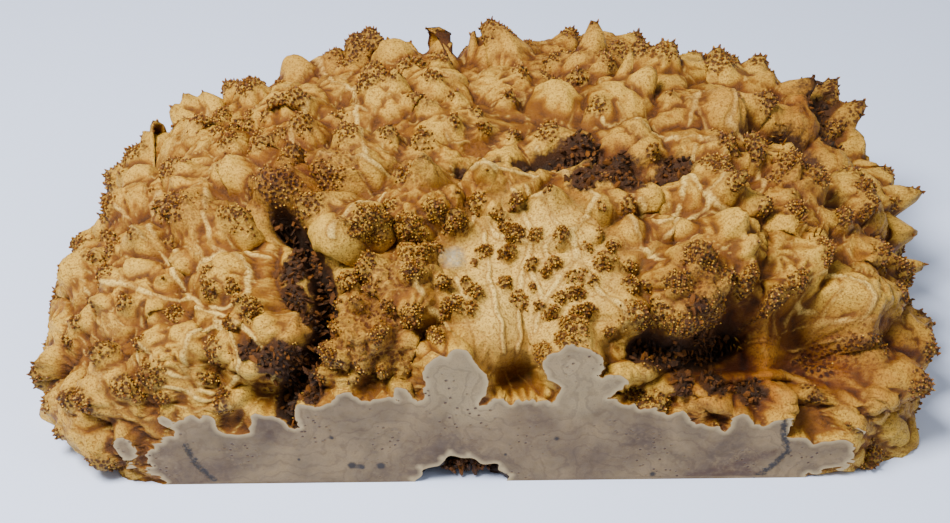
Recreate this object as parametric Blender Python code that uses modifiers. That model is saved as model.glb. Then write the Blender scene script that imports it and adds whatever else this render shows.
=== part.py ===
# Maple burl cap: the knobbly outside of a burl, sawn flat below and straight across the front.
# One solid piece of wood. +Z up, the sawn front faces -Y, the long way runs along X.
import math

import bmesh
import bpy
import numpy as np

MM = 0.001

# The cap as a whole, in millimetres
FRONT = -112.0      # the sawn front stands at this Y
CROWN = 106.0       # height of the smooth mass before its heads are added
WIDEST = 14.0       # height at which the mass is widest
MIDDLE_Y = 8.0      # the mass is centred a little behind the origin
# Reach of the mass from its middle, every 30 degrees from +X towards the back
REACH = [203, 204, 165, 128, 146, 172, 187, 205, 161, 142, 159, 208]
CORE_INSET = 13.0   # the core lies this far inside that mass and the growths fill it out
FRONT_INSET = 2.0   # and this much more towards the front

# How strongly each kind of growth stands out
LOBE_GAIN = 1.15
HEAD_GAIN = 1.3
HEAD_SPREAD = 1.25  # how far the skirt of a bud or horn runs out
PILLOW_GAIN = 0.10
VALLEY_DEPTH = 4.0
VEIN_HEIGHT = 1.4
VEIN_WIDTH = 1.15
FINE_HEIGHT = 0.3

SEED = 5
SPHERE_LEVEL = 8
FACES_KEPT = 0.0129
GRAIN = 1.0         # folds finer than this are closed up
ROOM = 600.0        # the saw leaves only what lies in this much room above the base

# Broad swellings: bearing and rise in degrees, radius and height in millimetres
LOBES = [
    # left mass, from the ground up
    (220, 44, 25, 7), (218, 30, 23, 6), (214, 17, 20, 8), (198, 40, 22, 6), (235, 18, 20, 5),
    (177, 52, 22, 7), (176, 66, 22, 7), (207, 63, 19, 9), (138, 64, 24, 7),
    # upper middle and crown
    (228, 61, 20, 10), (176, 88, 29, 6), (78, 72, 21, 6), (228, 80, 21, 4), (33, 80, 14, 4),
    # front middle, where the veins run
    (245, 40, 25, 7), (294, 48, 32, 5), (302, 44, 16, 7), (267, 54, 24, 3), (247, 24, 18, 3),
    (300, 23, 18, 3),
    # right side
    (13, 63, 27, 8), (15, 44, 22, 10), (20, 27, 17, 10), (345, 47, 26, 8), (4, 20, 24, 9),
    (349, 20, 18, 2), (331, 13, 20, 8), (332, 44, 18, 7), (317, 15, 11, 6), (323, 0, 17, 6),
]
# Swellings that also lean over: the last three numbers are the lean in X, Y, Z
LEANING = [
    (315, 46, 19, 16, (-1, 0, -3)),    # the big spiny bulb over the hollow
    (265, 31, 15, 15, (0, -13, 0)),    # left tongue, cut through by the saw
    (289, 34, 15, 17, (6, -21, 0)),    # right tongue, cut through by the saw
]
# Round smooth heads
DOMES = [
    (185, 26, 8, 5), (194, 24, 7, 4), (204, 39, 6, 5), (207, 45, 6, 4), (216, 48, 11, 6),
    (229, 38, 6, 4), (209, 12, 5, 5), (220, 33, 10, 4), (228, 32, 10, 4), (180, 37, 7, 5),
    (138, 46, 8, 5), (192, 59, 9, 7), (119, 60, 9, 6), (38, 80, 11, 6), (50, 70, 6, 5),
    (244, 80, 8, 3), (214, 74, 7, 4), (228, 58, 10, 10), (262, 54, 5, 3), (255, 36, 5, 5),
    (265, 36, 6, 4), (244, 38, 6, 5), (254, 26, 5, 4), (329, 54, 7, 8), (338, 48, 7, 5),
    (328, 10, 5, 5), (317, 15, 8, 7), (310, 20, 7, 5), (28, 63, 10, 5), (10, 60, 12, 8),
    (18, 42, 6, 5), (15, 24, 8, 9), (10, 21, 6, 6), (328, 65, 8, 6), (324, 59, 7, 5),
    (316, 60, 6, 4), (4, 73, 6, 4),
]
# Pointed horns
CONES = [
    (200, 42, 7, 6), (213, 35, 4, 5), (216, 32, 4, 5), (202, 10, 5, 6), (218, 5, 6, 9),
    (172, 26, 7, 6), (176, 24, 6, 6), (164, 32, 7, 11), (159, 35, 6, 7), (156, 36, 5, 6),
    (154, 38, 5, 6), (111, 53, 3, 6), (102, 54, 7, 13), (90, 53, 4, 8), (49, 66, 6, 9),
    (239, 72, 6, 7), (276, 72, 5, 6), (302, 67, 6, 7), (275, 64, 4, 5), (282, 64, 4, 6),
    (327, 50, 5, 6), (358, 16, 7, 8), (352, 14, 5, 8), (345, 8, 3, 6), (32, 71, 3, 10),
    (26, 70, 6, 8), (22, 40, 6, 9), (3, 48, 5, 6), (350, 50, 4, 6), (313, 64, 5, 5),
    (339, 68, 5, 5), (338, 73, 5, 5), (325, 74, 4, 5),
]
# Buds: low heads that end in a bristle of spikelets
BUDS = [
    # left mass
    (189, 23, 5, 4), (220, 46, 4, 3), (225, 42, 7, 4), (203, 22, 6, 5), (202, 2, 4, 5),
    (206, 2, 7, 5), (212, 23, 4, 4), (224, 32, 4, 3), (221, 20, 4, 3), (222, 15, 4, 3),
    (168, 48, 9, 5), (149, 40, 9, 6), (146, 42, 6, 5), (184, 48, 10, 6), (200, 51, 11, 7),
    (208, 56, 9, 7), (194, 46, 7, 5), (208, 64, 10, 7), (166, 64, 8, 6), (170, 62, 6, 5),
    (162, 66, 6, 5), (185, 64, 8, 6), (194, 68, 9, 6), (178, 70, 7, 5), (200, 62, 6, 4),
    # skyline and crown
    (130, 48, 9, 8), (124, 50, 8, 8), (120, 51, 7, 8), (82, 54, 11, 11), (144, 78, 5, 5),
    (148, 82, 5, 5), (154, 85, 5, 5), (196, 88, 4, 5), (115, 84, 5, 4), (60, 83, 5, 5),
    (302, 88, 5, 5), (120, 78, 5, 3), (195, 80, 6, 4), (190, 76, 9, 5), (166, 73, 8, 4),
    # front middle
    (220, 63, 8, 7), (234, 61, 11, 7), (245, 61, 8, 6), (252, 64, 5, 5), (261, 62, 6, 6),
    (255, 56, 5, 4), (281, 62, 5, 6), (278, 56, 4, 4), (291, 59, 4, 4), (286, 53, 4, 4),
    (276, 48, 4, 3), (292, 53, 4, 4), (294, 50, 4, 4), (285, 44, 4, 4), (290, 46, 4, 4),
    (289, 40, 4, 4), (294, 42, 4, 4), (304, 53, 7, 5), (302, 56, 5, 4), (264, 44, 5, 5),
    (269, 46, 4, 5), (254, 43, 7, 5), (251, 50, 5, 5), (249, 54, 5, 4), (241, 52, 6, 5),
    (238, 49, 5, 5), (244, 48, 5, 4), (237, 45, 5, 4), (248, 38, 5, 5), (242, 44, 4, 4),
    (248, 44, 4, 4), (240, 40, 4, 4), (242, 34, 5, 5), (246, 33, 5, 5), (250, 32, 4, 5),
    (240, 29, 5, 5), (245, 29, 5, 5), (239, 36, 4, 4), (259, 38, 4, 4),
    # right side
    (302, 42, 8, 6), (318, 50, 8, 5), (313, 46, 7, 4), (316, 42, 9, 5), (321, 47, 6, 5),
    (310, 39, 7, 4), (324, 46, 6, 5), (336, 42, 9, 6), (325, 41, 6, 7), (322, 40, 5, 5),
    (344, 31, 8, 5), (332, 10, 9, 6), (326, 25, 6, 5), (322, 15, 6, 5), (324, 7, 4, 4),
    (32, 50, 12, 7), (32, 38, 6, 5), (14, 52, 8, 7), (22, 30, 7, 8), (19, 27, 6, 8),
    (352, 46, 9, 7), (354, 56, 7, 7), (338, 59, 6, 7), (339, 54, 6, 6), (8, 20, 6, 7),
    (4, 18, 6, 7), (354, 33, 6, 5), (346, 40, 6, 5), (347, 71, 5, 4),
]
# Hollows: bearing, rise, radius, depth
HOLLOWS = [
    (316, 30, 30, 28), (305, 29, 14, 12), (325, 27, 30, 30), (316, 20, 12, 10), (334, 20, 16, 10),
    (231, 14, 14, 9), (278, 29, 15, 17), (301, 22, 13, 9), (240, 26, 12, 5), (261, 82, 17, 3),
    (236, 33, 9, 7), (306, 20, 8, 5), (208, 36, 6, 3), (228, 25, 15, 7), (229, 33, 13, 6),
    (248, 30, 14, 7), (301, 27, 14, 8), (320, 12, 18, 13), (307, 14, 14, 5), (316, 16, 14, 16),
    (340, 75, 15, 4),
]
# Clefts that run along a route: bearings and rises, width, depth
CLEFTS = [
    ([(213, 60), (220, 58), (227, 54), (232, 48), (236, 40), (237, 29), (236, 20), (238, 14)], 4.8, 18),
    ([(303, 76), (328, 80), (334, 78), (328, 74), (330, 70), (341, 66)], 5.0, 9),
    ([(8, 47), (7, 40), (3, 38)], 4.6, 14),
    ([(303, 35), (308, 32), (313, 32), (318, 36)], 6.7, 15),
    ([(314, 18), (312, 7)], 1.7, 8),
    ([(254, 77), (272, 77), (288, 77)], 5.0, 7),
]
# Ledges that stand out of the hollow
LEDGES = [
    ([(292, 26), (298, 29), (307, 32)], 6.3, 9),
    ([(309, 22), (314, 24), (321, 23), (324, 17)], 3.8, 5),
    ([(324, 14), (329, 0), (332, -7)], 5.9, 5),
]
# Raised veins between the heads
VEINS = [
    # the seams that climb out of the recess between the tongues
    [(234, 70), (246, 56), (249, 46), (252, 40), (256, 34), (260, 24)],
    [(250, 56), (256, 48), (261, 42), (268, 40)],
    [(288, 62), (281, 52), (278, 42), (276, 33)],
    [(288, 62), (296, 62), (295, 55), (297, 50), (297, 44), (296, 36)],
    [(295, 55), (288, 50), (282, 43)],
    [(283, 54), (288, 56), (290, 54)],
    [(266, 64), (272, 53), (274, 46), (276, 40)],
    [(266, 64), (273, 58), (284, 58)],
    [(286, 66), (295, 62), (303, 60), (309, 56)],
    # round the bulb and over the right shoulder
    [(305, 48), (310, 55), (315, 58), (327, 60), (340, 64), (354, 64)],
    [(189, 83), (226, 82), (263, 79)],
    # rims of the round heads on the left
    [(211, 46), (211, 50), (214, 52), (218, 53)],
    [(216, 30), (220, 26), (225, 24), (228, 24)],
    [(222, 34), (224, 28), (228, 24)],
    [(222, 38), (227, 38), (232, 32), (233, 26)],
    [(217, 40), (221, 40), (226, 38)],
]
# Places left without extra heads: bearing, rise, radius
BARE = [
    (318, 25, 26), (331, 32, 17), (274, 30, 14), (258, 76, 17), (315, 76, 17), (8, 72, 18),
    (239, 77, 13), (232, 46, 7), (278, 40, 9), (310, 58, 10),
]
VEINED = (285, 50, 42)      # middle and reach of the area where the cells are dished, not swollen
# The rotted bark pocket in the lower edge of the front: centre and half sizes
POCKET_AT = (-6.0, -112.0, 1.0)
POCKET_HALF = (17.0, 11.0, 12.0)


def start_clean():
    for old in list(bpy.data.objects):
        bpy.data.objects.remove(old)
    for old in list(bpy.data.meshes):
        bpy.data.meshes.remove(old)


def new_collection(name):
    group = bpy.data.collections.new(name)
    bpy.context.scene.collection.children.link(group)
    return group


# Noise: a smooth random value between -1 and 1 for each point

def corner_value(cx, cy, cz, seed):
    with np.errstate(over="ignore"):
        mixed = cx.astype(np.uint32) * np.uint32(374761393)
        mixed = mixed + cy.astype(np.uint32) * np.uint32(668265263)
        mixed = mixed + cz.astype(np.uint32) * np.uint32(2147483647)
        mixed = mixed + np.uint32(seed) * np.uint32(1274126177)
        mixed = (mixed ^ (mixed >> np.uint32(13))) * np.uint32(1274126177)
        mixed = (mixed ^ (mixed >> np.uint32(16))) * np.uint32(2654435761)
        mixed = mixed ^ (mixed >> np.uint32(15))
    return mixed.astype(np.float64) / 4294967295.0


def noise(points, size, seed):
    scaled = points / size + 100.0 + seed * 7.31
    cell = np.floor(scaled).astype(np.int64)
    part = scaled - cell
    part = part ** 3 * (part * (part * 6 - 15) + 10)
    total = 0.0
    for dx in (0, 1):
        for dy in (0, 1):
            for dz in (0, 1):
                weight = part[:, 0] if dx else 1 - part[:, 0]
                weight = weight * (part[:, 1] if dy else 1 - part[:, 1])
                weight = weight * (part[:, 2] if dz else 1 - part[:, 2])
                total = total + weight * corner_value(cell[:, 0] + dx, cell[:, 1] + dy, cell[:, 2] + dz, seed)
    return total * 2 - 1


def layered_noise(points, size, seed, layers=2):
    total = 0.0
    strength = 1.0
    whole = 0.0
    for layer in range(layers):
        total = total + strength * noise(points, size / 2 ** layer, seed + layer)
        whole += strength
        strength *= 0.5
    return total / whole


def wobble(points, size, seed, amount):
    return amount * np.stack([layered_noise(points, size, seed + k) for k in range(3)], -1)


# The smooth mass under everything

def around(values, bearing):
    """Smooth closed curve through values spaced evenly round the circle."""
    values = np.array(values, float)
    count = len(values)
    place = np.mod(bearing, 2 * np.pi) / (2 * np.pi) * count
    index = np.floor(place).astype(int) % count
    part = place - np.floor(place)
    before = values[(index - 1) % count]
    here = values[index]
    after = values[(index + 1) % count]
    beyond = values[(index + 2) % count]
    slope = after - before
    bend = 2 * before - 5 * here + 4 * after - beyond
    twist = 3 * here - before - 3 * after + beyond
    return 0.5 * (2 * here + slope * part + bend * part ** 2 + twist * part ** 3)


def mass(bearing, rise, inset=0.0):
    to_front = np.clip(-np.sin(bearing), 0, 1)
    side_power = 0.80 + 0.30 * to_front
    top_power = 0.86 + 0.16 * to_front
    reach = (around(REACH, bearing) - inset) * np.abs(np.cos(rise)) ** side_power
    lift = np.sign(np.sin(rise)) * np.abs(np.sin(rise)) ** top_power
    height = WIDEST + (CROWN - WIDEST - inset) * lift
    return np.stack([reach * np.cos(bearing), MIDDLE_Y + reach * np.sin(bearing), height], -1)


def place(bearing, rise):
    return mass(np.array([math.radians(bearing)]), np.array([math.radians(rise)]))[0]


def angles(directions):
    return np.arctan2(directions[:, 1], directions[:, 0]), np.arcsin(np.clip(directions[:, 2], -1, 1))


def mass_normals(bearing, rise):
    step = 2e-3
    along = mass(bearing + step, rise) - mass(bearing - step, rise)
    up = mass(bearing, np.clip(rise + step, -1.57, 1.57)) - mass(bearing, np.clip(rise - step, -1.57, 1.57))
    normal = np.cross(along, up)
    return normal / (np.linalg.norm(normal, axis=1)[:, None] + 1e-9)


def surface_normals(points, faces):
    normals = np.zeros_like(points)
    first, second, third = (points[faces[:, k]] for k in range(3))
    facing = np.cross(second - first, third - first)
    for k in range(3):
        np.add.at(normals, faces[:, k], facing)
    return normals / (np.linalg.norm(normals, axis=1)[:, None] + 1e-12)


def blend_max(low, high, soft):
    share = np.clip(0.5 + 0.5 * (low - high) / soft, 0, 1)
    return high + (low - high) * share + soft * share * (1 - share)


def length(vectors):
    return np.linalg.norm(vectors, axis=1)


def route_distance(points, route):
    corners = np.array([place(*corner) for corner in route])
    nearest = np.full(len(points), 1e9)
    for start, end in zip(corners[:-1], corners[1:]):
        along = end - start
        share = np.clip(((points - start) @ along) / (along @ along), 0, 1)
        nearest = np.minimum(nearest, length(points - start - share[:, None] * along))
    return nearest


# Growths

def gather_lobes(rng):
    """All broad swellings: the placed ones, and others wherever a gap is left behind them."""
    lobes = []
    for bearing, rise, radius, height in LOBES:
        centre = place(bearing, rise)
        outward = (centre - (0, MIDDLE_Y, 20)) * (1, 1, 0.6)
        lobes.append((centre, radius, height, outward / np.linalg.norm(outward) * 0.35 * height))
    for bearing, rise, radius, height, lean in LEANING:
        lobes.append((place(bearing, rise), radius, height, np.array(lean, float)))
    tries = rng.normal(size=(4000, 3))
    tries /= length(tries)[:, None]
    for centre in mass(*angles(tries)):
        if centre[2] < -10 or centre[1] < FRONT:
            continue
        if min(length(np.array([lobe[0] for lobe in lobes]) - centre)) > 27:
            radius = rng.uniform(17, 26)
            height = radius * rng.uniform(0.3, 0.42)
            outward = centre - (0, MIDDLE_Y, 20)
            lobes.append((centre, radius, height, outward / np.linalg.norm(outward) * 0.35 * height))
    return lobes


def gather_heads(rng):
    """All small heads: the placed ones, and others that fill what is left of the surface."""
    heads = []
    for rows, kind in ((DOMES, "dome"), (CONES, "cone"), (BUDS, "bud")):
        for bearing, rise, radius, height in rows:
            heads.append((place(bearing, rise), radius, height, kind))
    bare = [(place(bearing, rise), radius) for bearing, rise, radius in BARE]
    tries = rng.normal(size=(9000, 3))
    tries /= length(tries)[:, None]
    for centre in mass(*angles(tries)):
        if centre[2] < -14 or centre[1] < FRONT - 16:
            continue
        if any(np.linalg.norm(centre - spot) < radius for spot, radius in bare):
            continue
        radius = rng.uniform(4.5, 10)
        gaps = length(np.array([head[0] for head in heads]) - centre)
        if np.all(gaps > 0.8 * (np.array([head[1] for head in heads]) + radius)):
            kind = ("bud", "bud", "bud", "bud", "bud", "cone")[rng.integers(6)]
            heads.append((centre, radius, radius * rng.uniform(0.24, 0.45), kind))
    return heads


def add_lobes(points, near_points, normals, rng):
    height_field = np.zeros(len(points))
    lean_field = np.zeros_like(points)
    nearest = np.full(len(points), 9.0)
    next_nearest = np.full(len(points), 9.0)
    own_height = np.zeros(len(points))
    for centre, radius, height, lean in gather_lobes(rng):
        away = length(near_points - centre) / radius
        swelling = LOBE_GAIN * height * np.clip(1 - (away / 1.2) ** 2, 0, 1) ** 0.95
        height_field = blend_max(height_field, swelling, 1.2)
        lean_field += np.clip(1 - away ** 2, 0, 1)[:, None] ** 2 * lean
        closer = away < nearest
        next_nearest = np.where(closer, nearest, np.minimum(next_nearest, away))
        own_height = np.where(closer, height, own_height)
        nearest = np.minimum(nearest, away)
    valley = 1 - np.clip((next_nearest - nearest) / 0.34, 0, 1) ** 0.7
    height_field -= VALLEY_DEPTH * valley * np.clip(own_height / 6, 0.3, 1.4)
    return height_field[:, None] * normals + lean_field


def add_hollows(near_points):
    hollow = np.zeros(len(near_points))
    for bearing, rise, radius, depth in HOLLOWS:
        away = length(near_points - place(bearing, rise)) / radius
        hollow = np.maximum(hollow, depth * np.clip(1 - away ** 2, 0, 1))
    return hollow


def add_routes(near_points):
    cleft = np.zeros(len(near_points))
    for route, width, depth in CLEFTS:
        cleft = np.maximum(cleft, depth * np.exp(-(route_distance(near_points, route) / width) ** 2))
    ledge = np.zeros(len(near_points))
    for route, width, height in LEDGES:
        away = route_distance(near_points, route) / width
        ledge = np.maximum(ledge, height * np.clip(1 - away ** 2, 0, 1) ** 0.8)
    return cleft, ledge


def head_profile(kind, away, off_peak):
    if kind == "dome":
        return 0.85 * np.clip(1 - (off_peak / 1.25) ** 2, 0, 1) ** 1.15
    if kind == "cone":
        return 1.25 * np.clip(1 - off_peak / 1.25, 0, 1) ** 1.5
    base = 0.35 * np.clip(1 - (away / 1.15) ** 2, 0, 1) ** 0.9
    return base + 0.95 * np.clip(1 - off_peak / 1.2, 0, 1) ** 1.7


def add_heads(points, near_points, rng):
    """Height and lean of the heads, and masks: the net between them, their tips, the veined area."""
    height_field = np.zeros(len(points))
    lean_field = np.zeros_like(points)
    nearest = np.full(len(points), 9.0)
    next_nearest = np.full(len(points), 9.0)
    own_height = np.zeros(len(points))
    tip = np.zeros(len(points))
    for centre, radius, height, kind in gather_heads(rng):
        if kind != "dome":
            radius *= HEAD_SPREAD
        close = np.flatnonzero(length(points - centre) < 2.2 * radius + 3)
        outward = centre - (0, MIDDLE_Y, 30)
        outward /= np.linalg.norm(outward)
        across = rng.normal(size=3)
        across -= across @ outward * outward
        across /= np.linalg.norm(across)
        shift = across * rng.uniform(-0.25, 0.25) + outward * 0.22
        if not len(close):
            continue
        off = near_points[close] - centre
        off = off - (0.28 * (off @ across))[:, None] * across
        away = length(off) / radius
        off_peak = length(off - radius * shift) / radius
        height_field[close] = blend_max(
            height_field[close], HEAD_GAIN * height * head_profile(kind, away, off_peak), 0.4)
        lean_field[close] += (0.35 * height * np.clip(1 - away ** 2, 0, 1) ** 2)[:, None] * outward
        closer = away < nearest[close]
        next_nearest[close] = np.where(closer, nearest[close], np.minimum(next_nearest[close], away))
        nearest[close] = np.minimum(nearest[close], away)
        own_height[close] = np.where(closer, height, own_height[close])
        if kind != "dome":
            tip[close] = np.maximum(tip[close], np.clip(1.3 - off_peak / 0.42, 0, 1))
    gap = next_nearest - nearest
    middle = place(*VEINED[:2])
    veined = np.exp(-(length(near_points - middle) / VEINED[2]) ** 4)
    cell = np.clip(gap / 0.4, 0, 1) ** 0.6 * (next_nearest < 4)
    height_field += PILLOW_GAIN * cell * own_height * (1 - 1.6 * veined)
    net = np.exp(-(gap / 0.10) ** 2) * np.clip((nearest - 0.6) / 0.4, 0, 1) * (next_nearest < 4)
    net = net * (0.35 + 0.6 * veined)
    bent = near_points + wobble(points, 14, 181, 2.6)
    for route in VEINS:
        net = np.maximum(net, np.exp(-(route_distance(bent, route) / VEIN_WIDTH) ** 2))
    return height_field, lean_field, net, tip, veined


def burl_points(directions, faces):
    """Where each direction of a unit sphere ends up on the burl, in millimetres."""
    rng = np.random.default_rng(SEED)
    bearing, rise = angles(directions)
    smooth = mass(bearing, rise)
    normals = mass_normals(bearing, rise)
    inset = CORE_INSET + FRONT_INSET * np.clip(-np.sin(bearing), 0, 1) ** 2
    loose = smooth + wobble(smooth, 28, 11, 3.5)
    points = mass(bearing, rise, inset) + add_lobes(smooth, loose, normals, rng)
    points += 1.2 * layered_noise(smooth, 45, 21)[:, None] * normals
    hollow = add_hollows(loose)
    cleft, ledge = add_routes(loose)
    points += (ledge - hollow - cleft)[:, None] * normals

    outward = surface_normals(points, faces) * 0.6 + normals * 0.4
    outward /= length(outward)[:, None]
    tight = smooth + wobble(smooth, 8, 31, 1.3)
    height, lean, net, tip, veined = add_heads(smooth, tight, rng)
    calm = np.clip(1 - (cleft + hollow * 0.3) / 8, 0.2, 1) * (1 - 0.6 * veined)
    points += (height * calm + VEIN_HEIGHT * net)[:, None] * outward + lean * calm[:, None]

    fine = FINE_HEIGHT * layered_noise(smooth, 3.0, 41)
    fine += 1.5 * tip * np.abs(noise(smooth, 1.7, 51))
    fine += 0.11 * cleft * layered_noise(smooth, 3.0, 61)
    points += fine[:, None] * surface_normals(points, faces)
    # what the saw takes away is drawn in close to the cut, which keeps the cut crisp
    points[:, 1] = np.maximum(points[:, 1], FRONT - 6.0)
    points[:, 2] = np.maximum(points[:, 2], -6.0)
    return points


def sphere_mesh(name, level):
    ball = bmesh.new()
    bmesh.ops.create_icosphere(ball, subdivisions=level, radius=1.0)
    mesh = bpy.data.meshes.new(name)
    ball.to_mesh(mesh)
    ball.free()
    return mesh


def mesh_arrays(mesh):
    directions = np.empty(len(mesh.vertices) * 3)
    mesh.vertices.foreach_get("co", directions)
    directions = directions.reshape(-1, 3)
    faces = np.empty(len(mesh.polygons) * 3, np.int32)
    mesh.polygons.foreach_get("vertices", faces)
    return directions / length(directions)[:, None], faces.reshape(-1, 3)


def move_points(mesh, points):
    mesh.vertices.foreach_set("co", (points * MM).astype(np.float32).ravel())
    mesh.update()


def saw_room():
    """The block of space that the saw leaves: above the base and behind the front."""
    bpy.ops.mesh.primitive_cube_add(size=ROOM * MM, location=(0, (FRONT + ROOM / 2) * MM, ROOM / 2 * MM))
    room = bpy.context.object
    room.name = "saw_room"
    return room


def pocket_shape():
    """The rough lump of bark and rot that has fallen out of the front's lower edge."""
    mesh = sphere_mesh("bark_pocket", 4)
    directions, _ = mesh_arrays(mesh)
    ragged = 1 + 0.45 * layered_noise(directions, 0.55, 71)
    move_points(mesh, np.array(POCKET_AT) + directions * ragged[:, None] * POCKET_HALF)
    return bpy.data.objects.new("bark_pocket", mesh)


def as_cutter(thing, group):
    for owner in list(thing.users_collection):
        owner.objects.unlink(thing)
    group.objects.link(thing)
    thing.hide_render = True
    thing.display_type = "WIRE"


def add_cut(thing, cutter, operation):
    cut = thing.modifiers.new(operation.lower(), "BOOLEAN")
    cut.operation = operation
    cut.solver = "EXACT"
    cut.object = cutter


def settle(thing):
    """Works the modifiers so far into the thing's own mesh."""
    scene_now = bpy.context.evaluated_depsgraph_get()
    settled = bpy.data.meshes.new_from_object(thing.evaluated_get(scene_now))
    thing.modifiers.clear()
    thing.data = settled


def keep_largest_shell(mesh):
    """Drops the small closed bubbles that folds leave inside the wood."""
    work = bmesh.new()
    work.from_mesh(mesh)
    waiting = set(work.verts)
    largest = set()
    while waiting:
        shell = set()
        front = [waiting.pop()]
        while front:
            vertex = front.pop()
            shell.add(vertex)
            for edge in vertex.link_edges:
                other = edge.other_vert(vertex)
                if other in waiting:
                    waiting.remove(other)
                    front.append(other)
        if len(shell) > len(largest):
            largest = shell
    bmesh.ops.delete(work, geom=[v for v in work.verts if v not in largest], context="VERTS")
    work.to_mesh(mesh)
    work.free()


def wood():
    paint = bpy.data.materials.new("maple_burl")
    paint.use_nodes = True
    shader = paint.node_tree.nodes["Principled BSDF"]
    shader.inputs["Base Color"].default_value = (0.62, 0.38, 0.16, 1.0)
    shader.inputs["Roughness"].default_value = 0.6
    return paint


def build():
    start_clean()
    burl_group = new_collection("maple_burl_cap")
    cutter_group = new_collection("cutters")

    mesh = sphere_mesh("burl_cap", SPHERE_LEVEL)
    directions, faces = mesh_arrays(mesh)
    move_points(mesh, burl_points(directions, faces))
    cap = bpy.data.objects.new("burl_cap", mesh)
    burl_group.objects.link(cap)
    cap.data.materials.append(wood())

    # folds that cross each other are closed into one clean skin before faces are dropped
    skin = cap.modifiers.new("one skin", "REMESH")
    skin.mode = "VOXEL"
    skin.voxel_size = GRAIN * MM
    fewer = cap.modifiers.new("fewer faces", "DECIMATE")
    fewer.ratio = FACES_KEPT
    settle(cap)
    keep_largest_shell(cap.data)

    room = saw_room()
    as_cutter(room, cutter_group)
    add_cut(cap, room, "INTERSECT")
    pocket = pocket_shape()
    as_cutter(pocket, cutter_group)
    add_cut(cap, pocket, "DIFFERENCE")


build()
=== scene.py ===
# Maple burl cap: the wood, its sawn faces, the spikelets, straw and old bark.
import math

import bmesh
import bpy
import numpy as np
from mathutils import Matrix, Vector
from mathutils.geometry import delaunay_2d_cdt
from mathutils.kdtree import KDTree


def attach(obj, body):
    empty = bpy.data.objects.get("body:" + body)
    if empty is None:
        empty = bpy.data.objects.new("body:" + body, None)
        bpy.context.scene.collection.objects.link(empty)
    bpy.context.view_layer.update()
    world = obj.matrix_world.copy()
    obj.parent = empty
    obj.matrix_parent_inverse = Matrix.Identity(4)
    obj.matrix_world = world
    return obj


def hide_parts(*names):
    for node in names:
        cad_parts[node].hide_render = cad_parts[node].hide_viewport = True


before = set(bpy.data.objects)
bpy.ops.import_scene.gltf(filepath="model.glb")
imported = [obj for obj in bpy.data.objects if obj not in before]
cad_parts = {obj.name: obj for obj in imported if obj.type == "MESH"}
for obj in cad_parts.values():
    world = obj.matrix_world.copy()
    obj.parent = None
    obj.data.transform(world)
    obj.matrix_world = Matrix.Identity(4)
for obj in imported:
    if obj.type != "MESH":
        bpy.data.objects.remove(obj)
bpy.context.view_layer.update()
mm = 0.001

# The burl itself. Sizes in millimetres, bearings and rises in degrees.
burlShape = {
    "front": -112.0,      # the sawn front stands at this Y
    "crown": 106.0,       # height of the smooth mass
    "widest": 14.0,       # height at which it reaches out furthest
    "middleY": 8.0,
    "reach": [203, 204, 165, 128, 146, 172, 187, 205, 161, 142, 159, 208],  # every 30 degrees
    "coreInset": 13.0,    # how far the mass shrinks before the growths are added
    "frontInset": 2.0,
    "lobeGain": 1.15,
    "headGain": 1.3,
    "headSpread": 1.25,
    "pillowGain": 0.10,
    "valleyDepth": 2.2,
    "veinHeight": 1.3,
    "veinWidth": 1.0,
    "rimWidth": 0.9,
    "ridgeHeight": 0.5,
    "wrinkleHeight": 0.45,
    "lumpHeight": 2.0,
    "lumpSize": 4.6,
    "miniHeight": 1.4,
    "miniSize": 2.4,
    "fluteDepth": 0.11,
    "scaleTilt": 0.15,
    "fineHeight": 0.3,
    "looseBend": (28, 11, 3.5),   # size, seed and amount of the wander of broad forms
    "tightBend": (8, 31, 1.3),    # the same for heads
    "veinBend": (14, 181, 1.3),   # and for veins
    "pastSaw": 6.0,       # how far the uncut shape reaches past each saw cut
    "sawRoom": 600,       # side of the block that the saw cuts leave
    "seed": 5,
    "steps": 112,         # how finely each side of the starting ball is divided
    "aim": (0.0, -0.62, 0.78),   # the divisions lie closest on this side
    "gather": 0.60,
    "veined": (285, 50, 42),     # the smooth veined part: bearing, rise, radius
    "scar": (261, 55, 4.6),      # a chalky scar
    "pocketAt": (-6.0, -112.0, 1.0),
    "pocketHalf": (17.0, 11.0, 12.0),
}

# Growths that no list below places
randomGrowths = {
    "lobeTries": 4000,
    "lobeGap": 27,
    "lobeRadius": (17, 26),
    "lobeHeight": (0.3, 0.42),   # as a share of the radius
    "headTries": 9000,
    "headGap": 0.8,              # as a share of both radii
    "headRadius": (4.5, 10),
    "headHeight": (0.4, 0.75),
    "lowShare": 0.5,             # so many heads stay low
}

# Broad swellings: bearing, rise, radius, height
lobes = [
    # left mass, from the ground up
    (220, 44, 25, 7), (218, 30, 23, 6), (214, 17, 20, 8), (198, 40, 22, 6), (235, 18, 20, 5),
    (177, 52, 22, 7), (176, 66, 22, 7), (207, 63, 19, 9), (138, 64, 24, 7),
    # upper middle and crown
    (228, 61, 20, 10), (176, 88, 29, 6), (78, 72, 21, 6), (228, 80, 21, 4), (33, 80, 14, 4),
    # front middle, where the veins run
    (245, 40, 25, 7), (294, 48, 32, 5), (302, 44, 16, 7), (267, 54, 24, 3), (247, 24, 18, 3),
    (300, 23, 18, 3),
    # right side
    (13, 63, 27, 8), (15, 44, 22, 10), (20, 27, 17, 10), (345, 47, 26, 8), (4, 20, 24, 9),
    (349, 20, 18, 2), (331, 13, 20, 8), (332, 44, 18, 7), (317, 15, 11, 6), (323, 0, 17, 6),
]
# Swellings that also lean over, with the lean in X, Y, Z
leaningLobes = [
    (315, 46, 19, 16, (-1, 0, -3)),     # the big spiny bulb over the hollow
    (264, 31, 18, 15, (0, -14, 0)),     # left tongue, cut through by the saw
    (289, 34, 15, 17, (6, -21, 0)),     # right tongue, cut through by the saw
]
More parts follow.
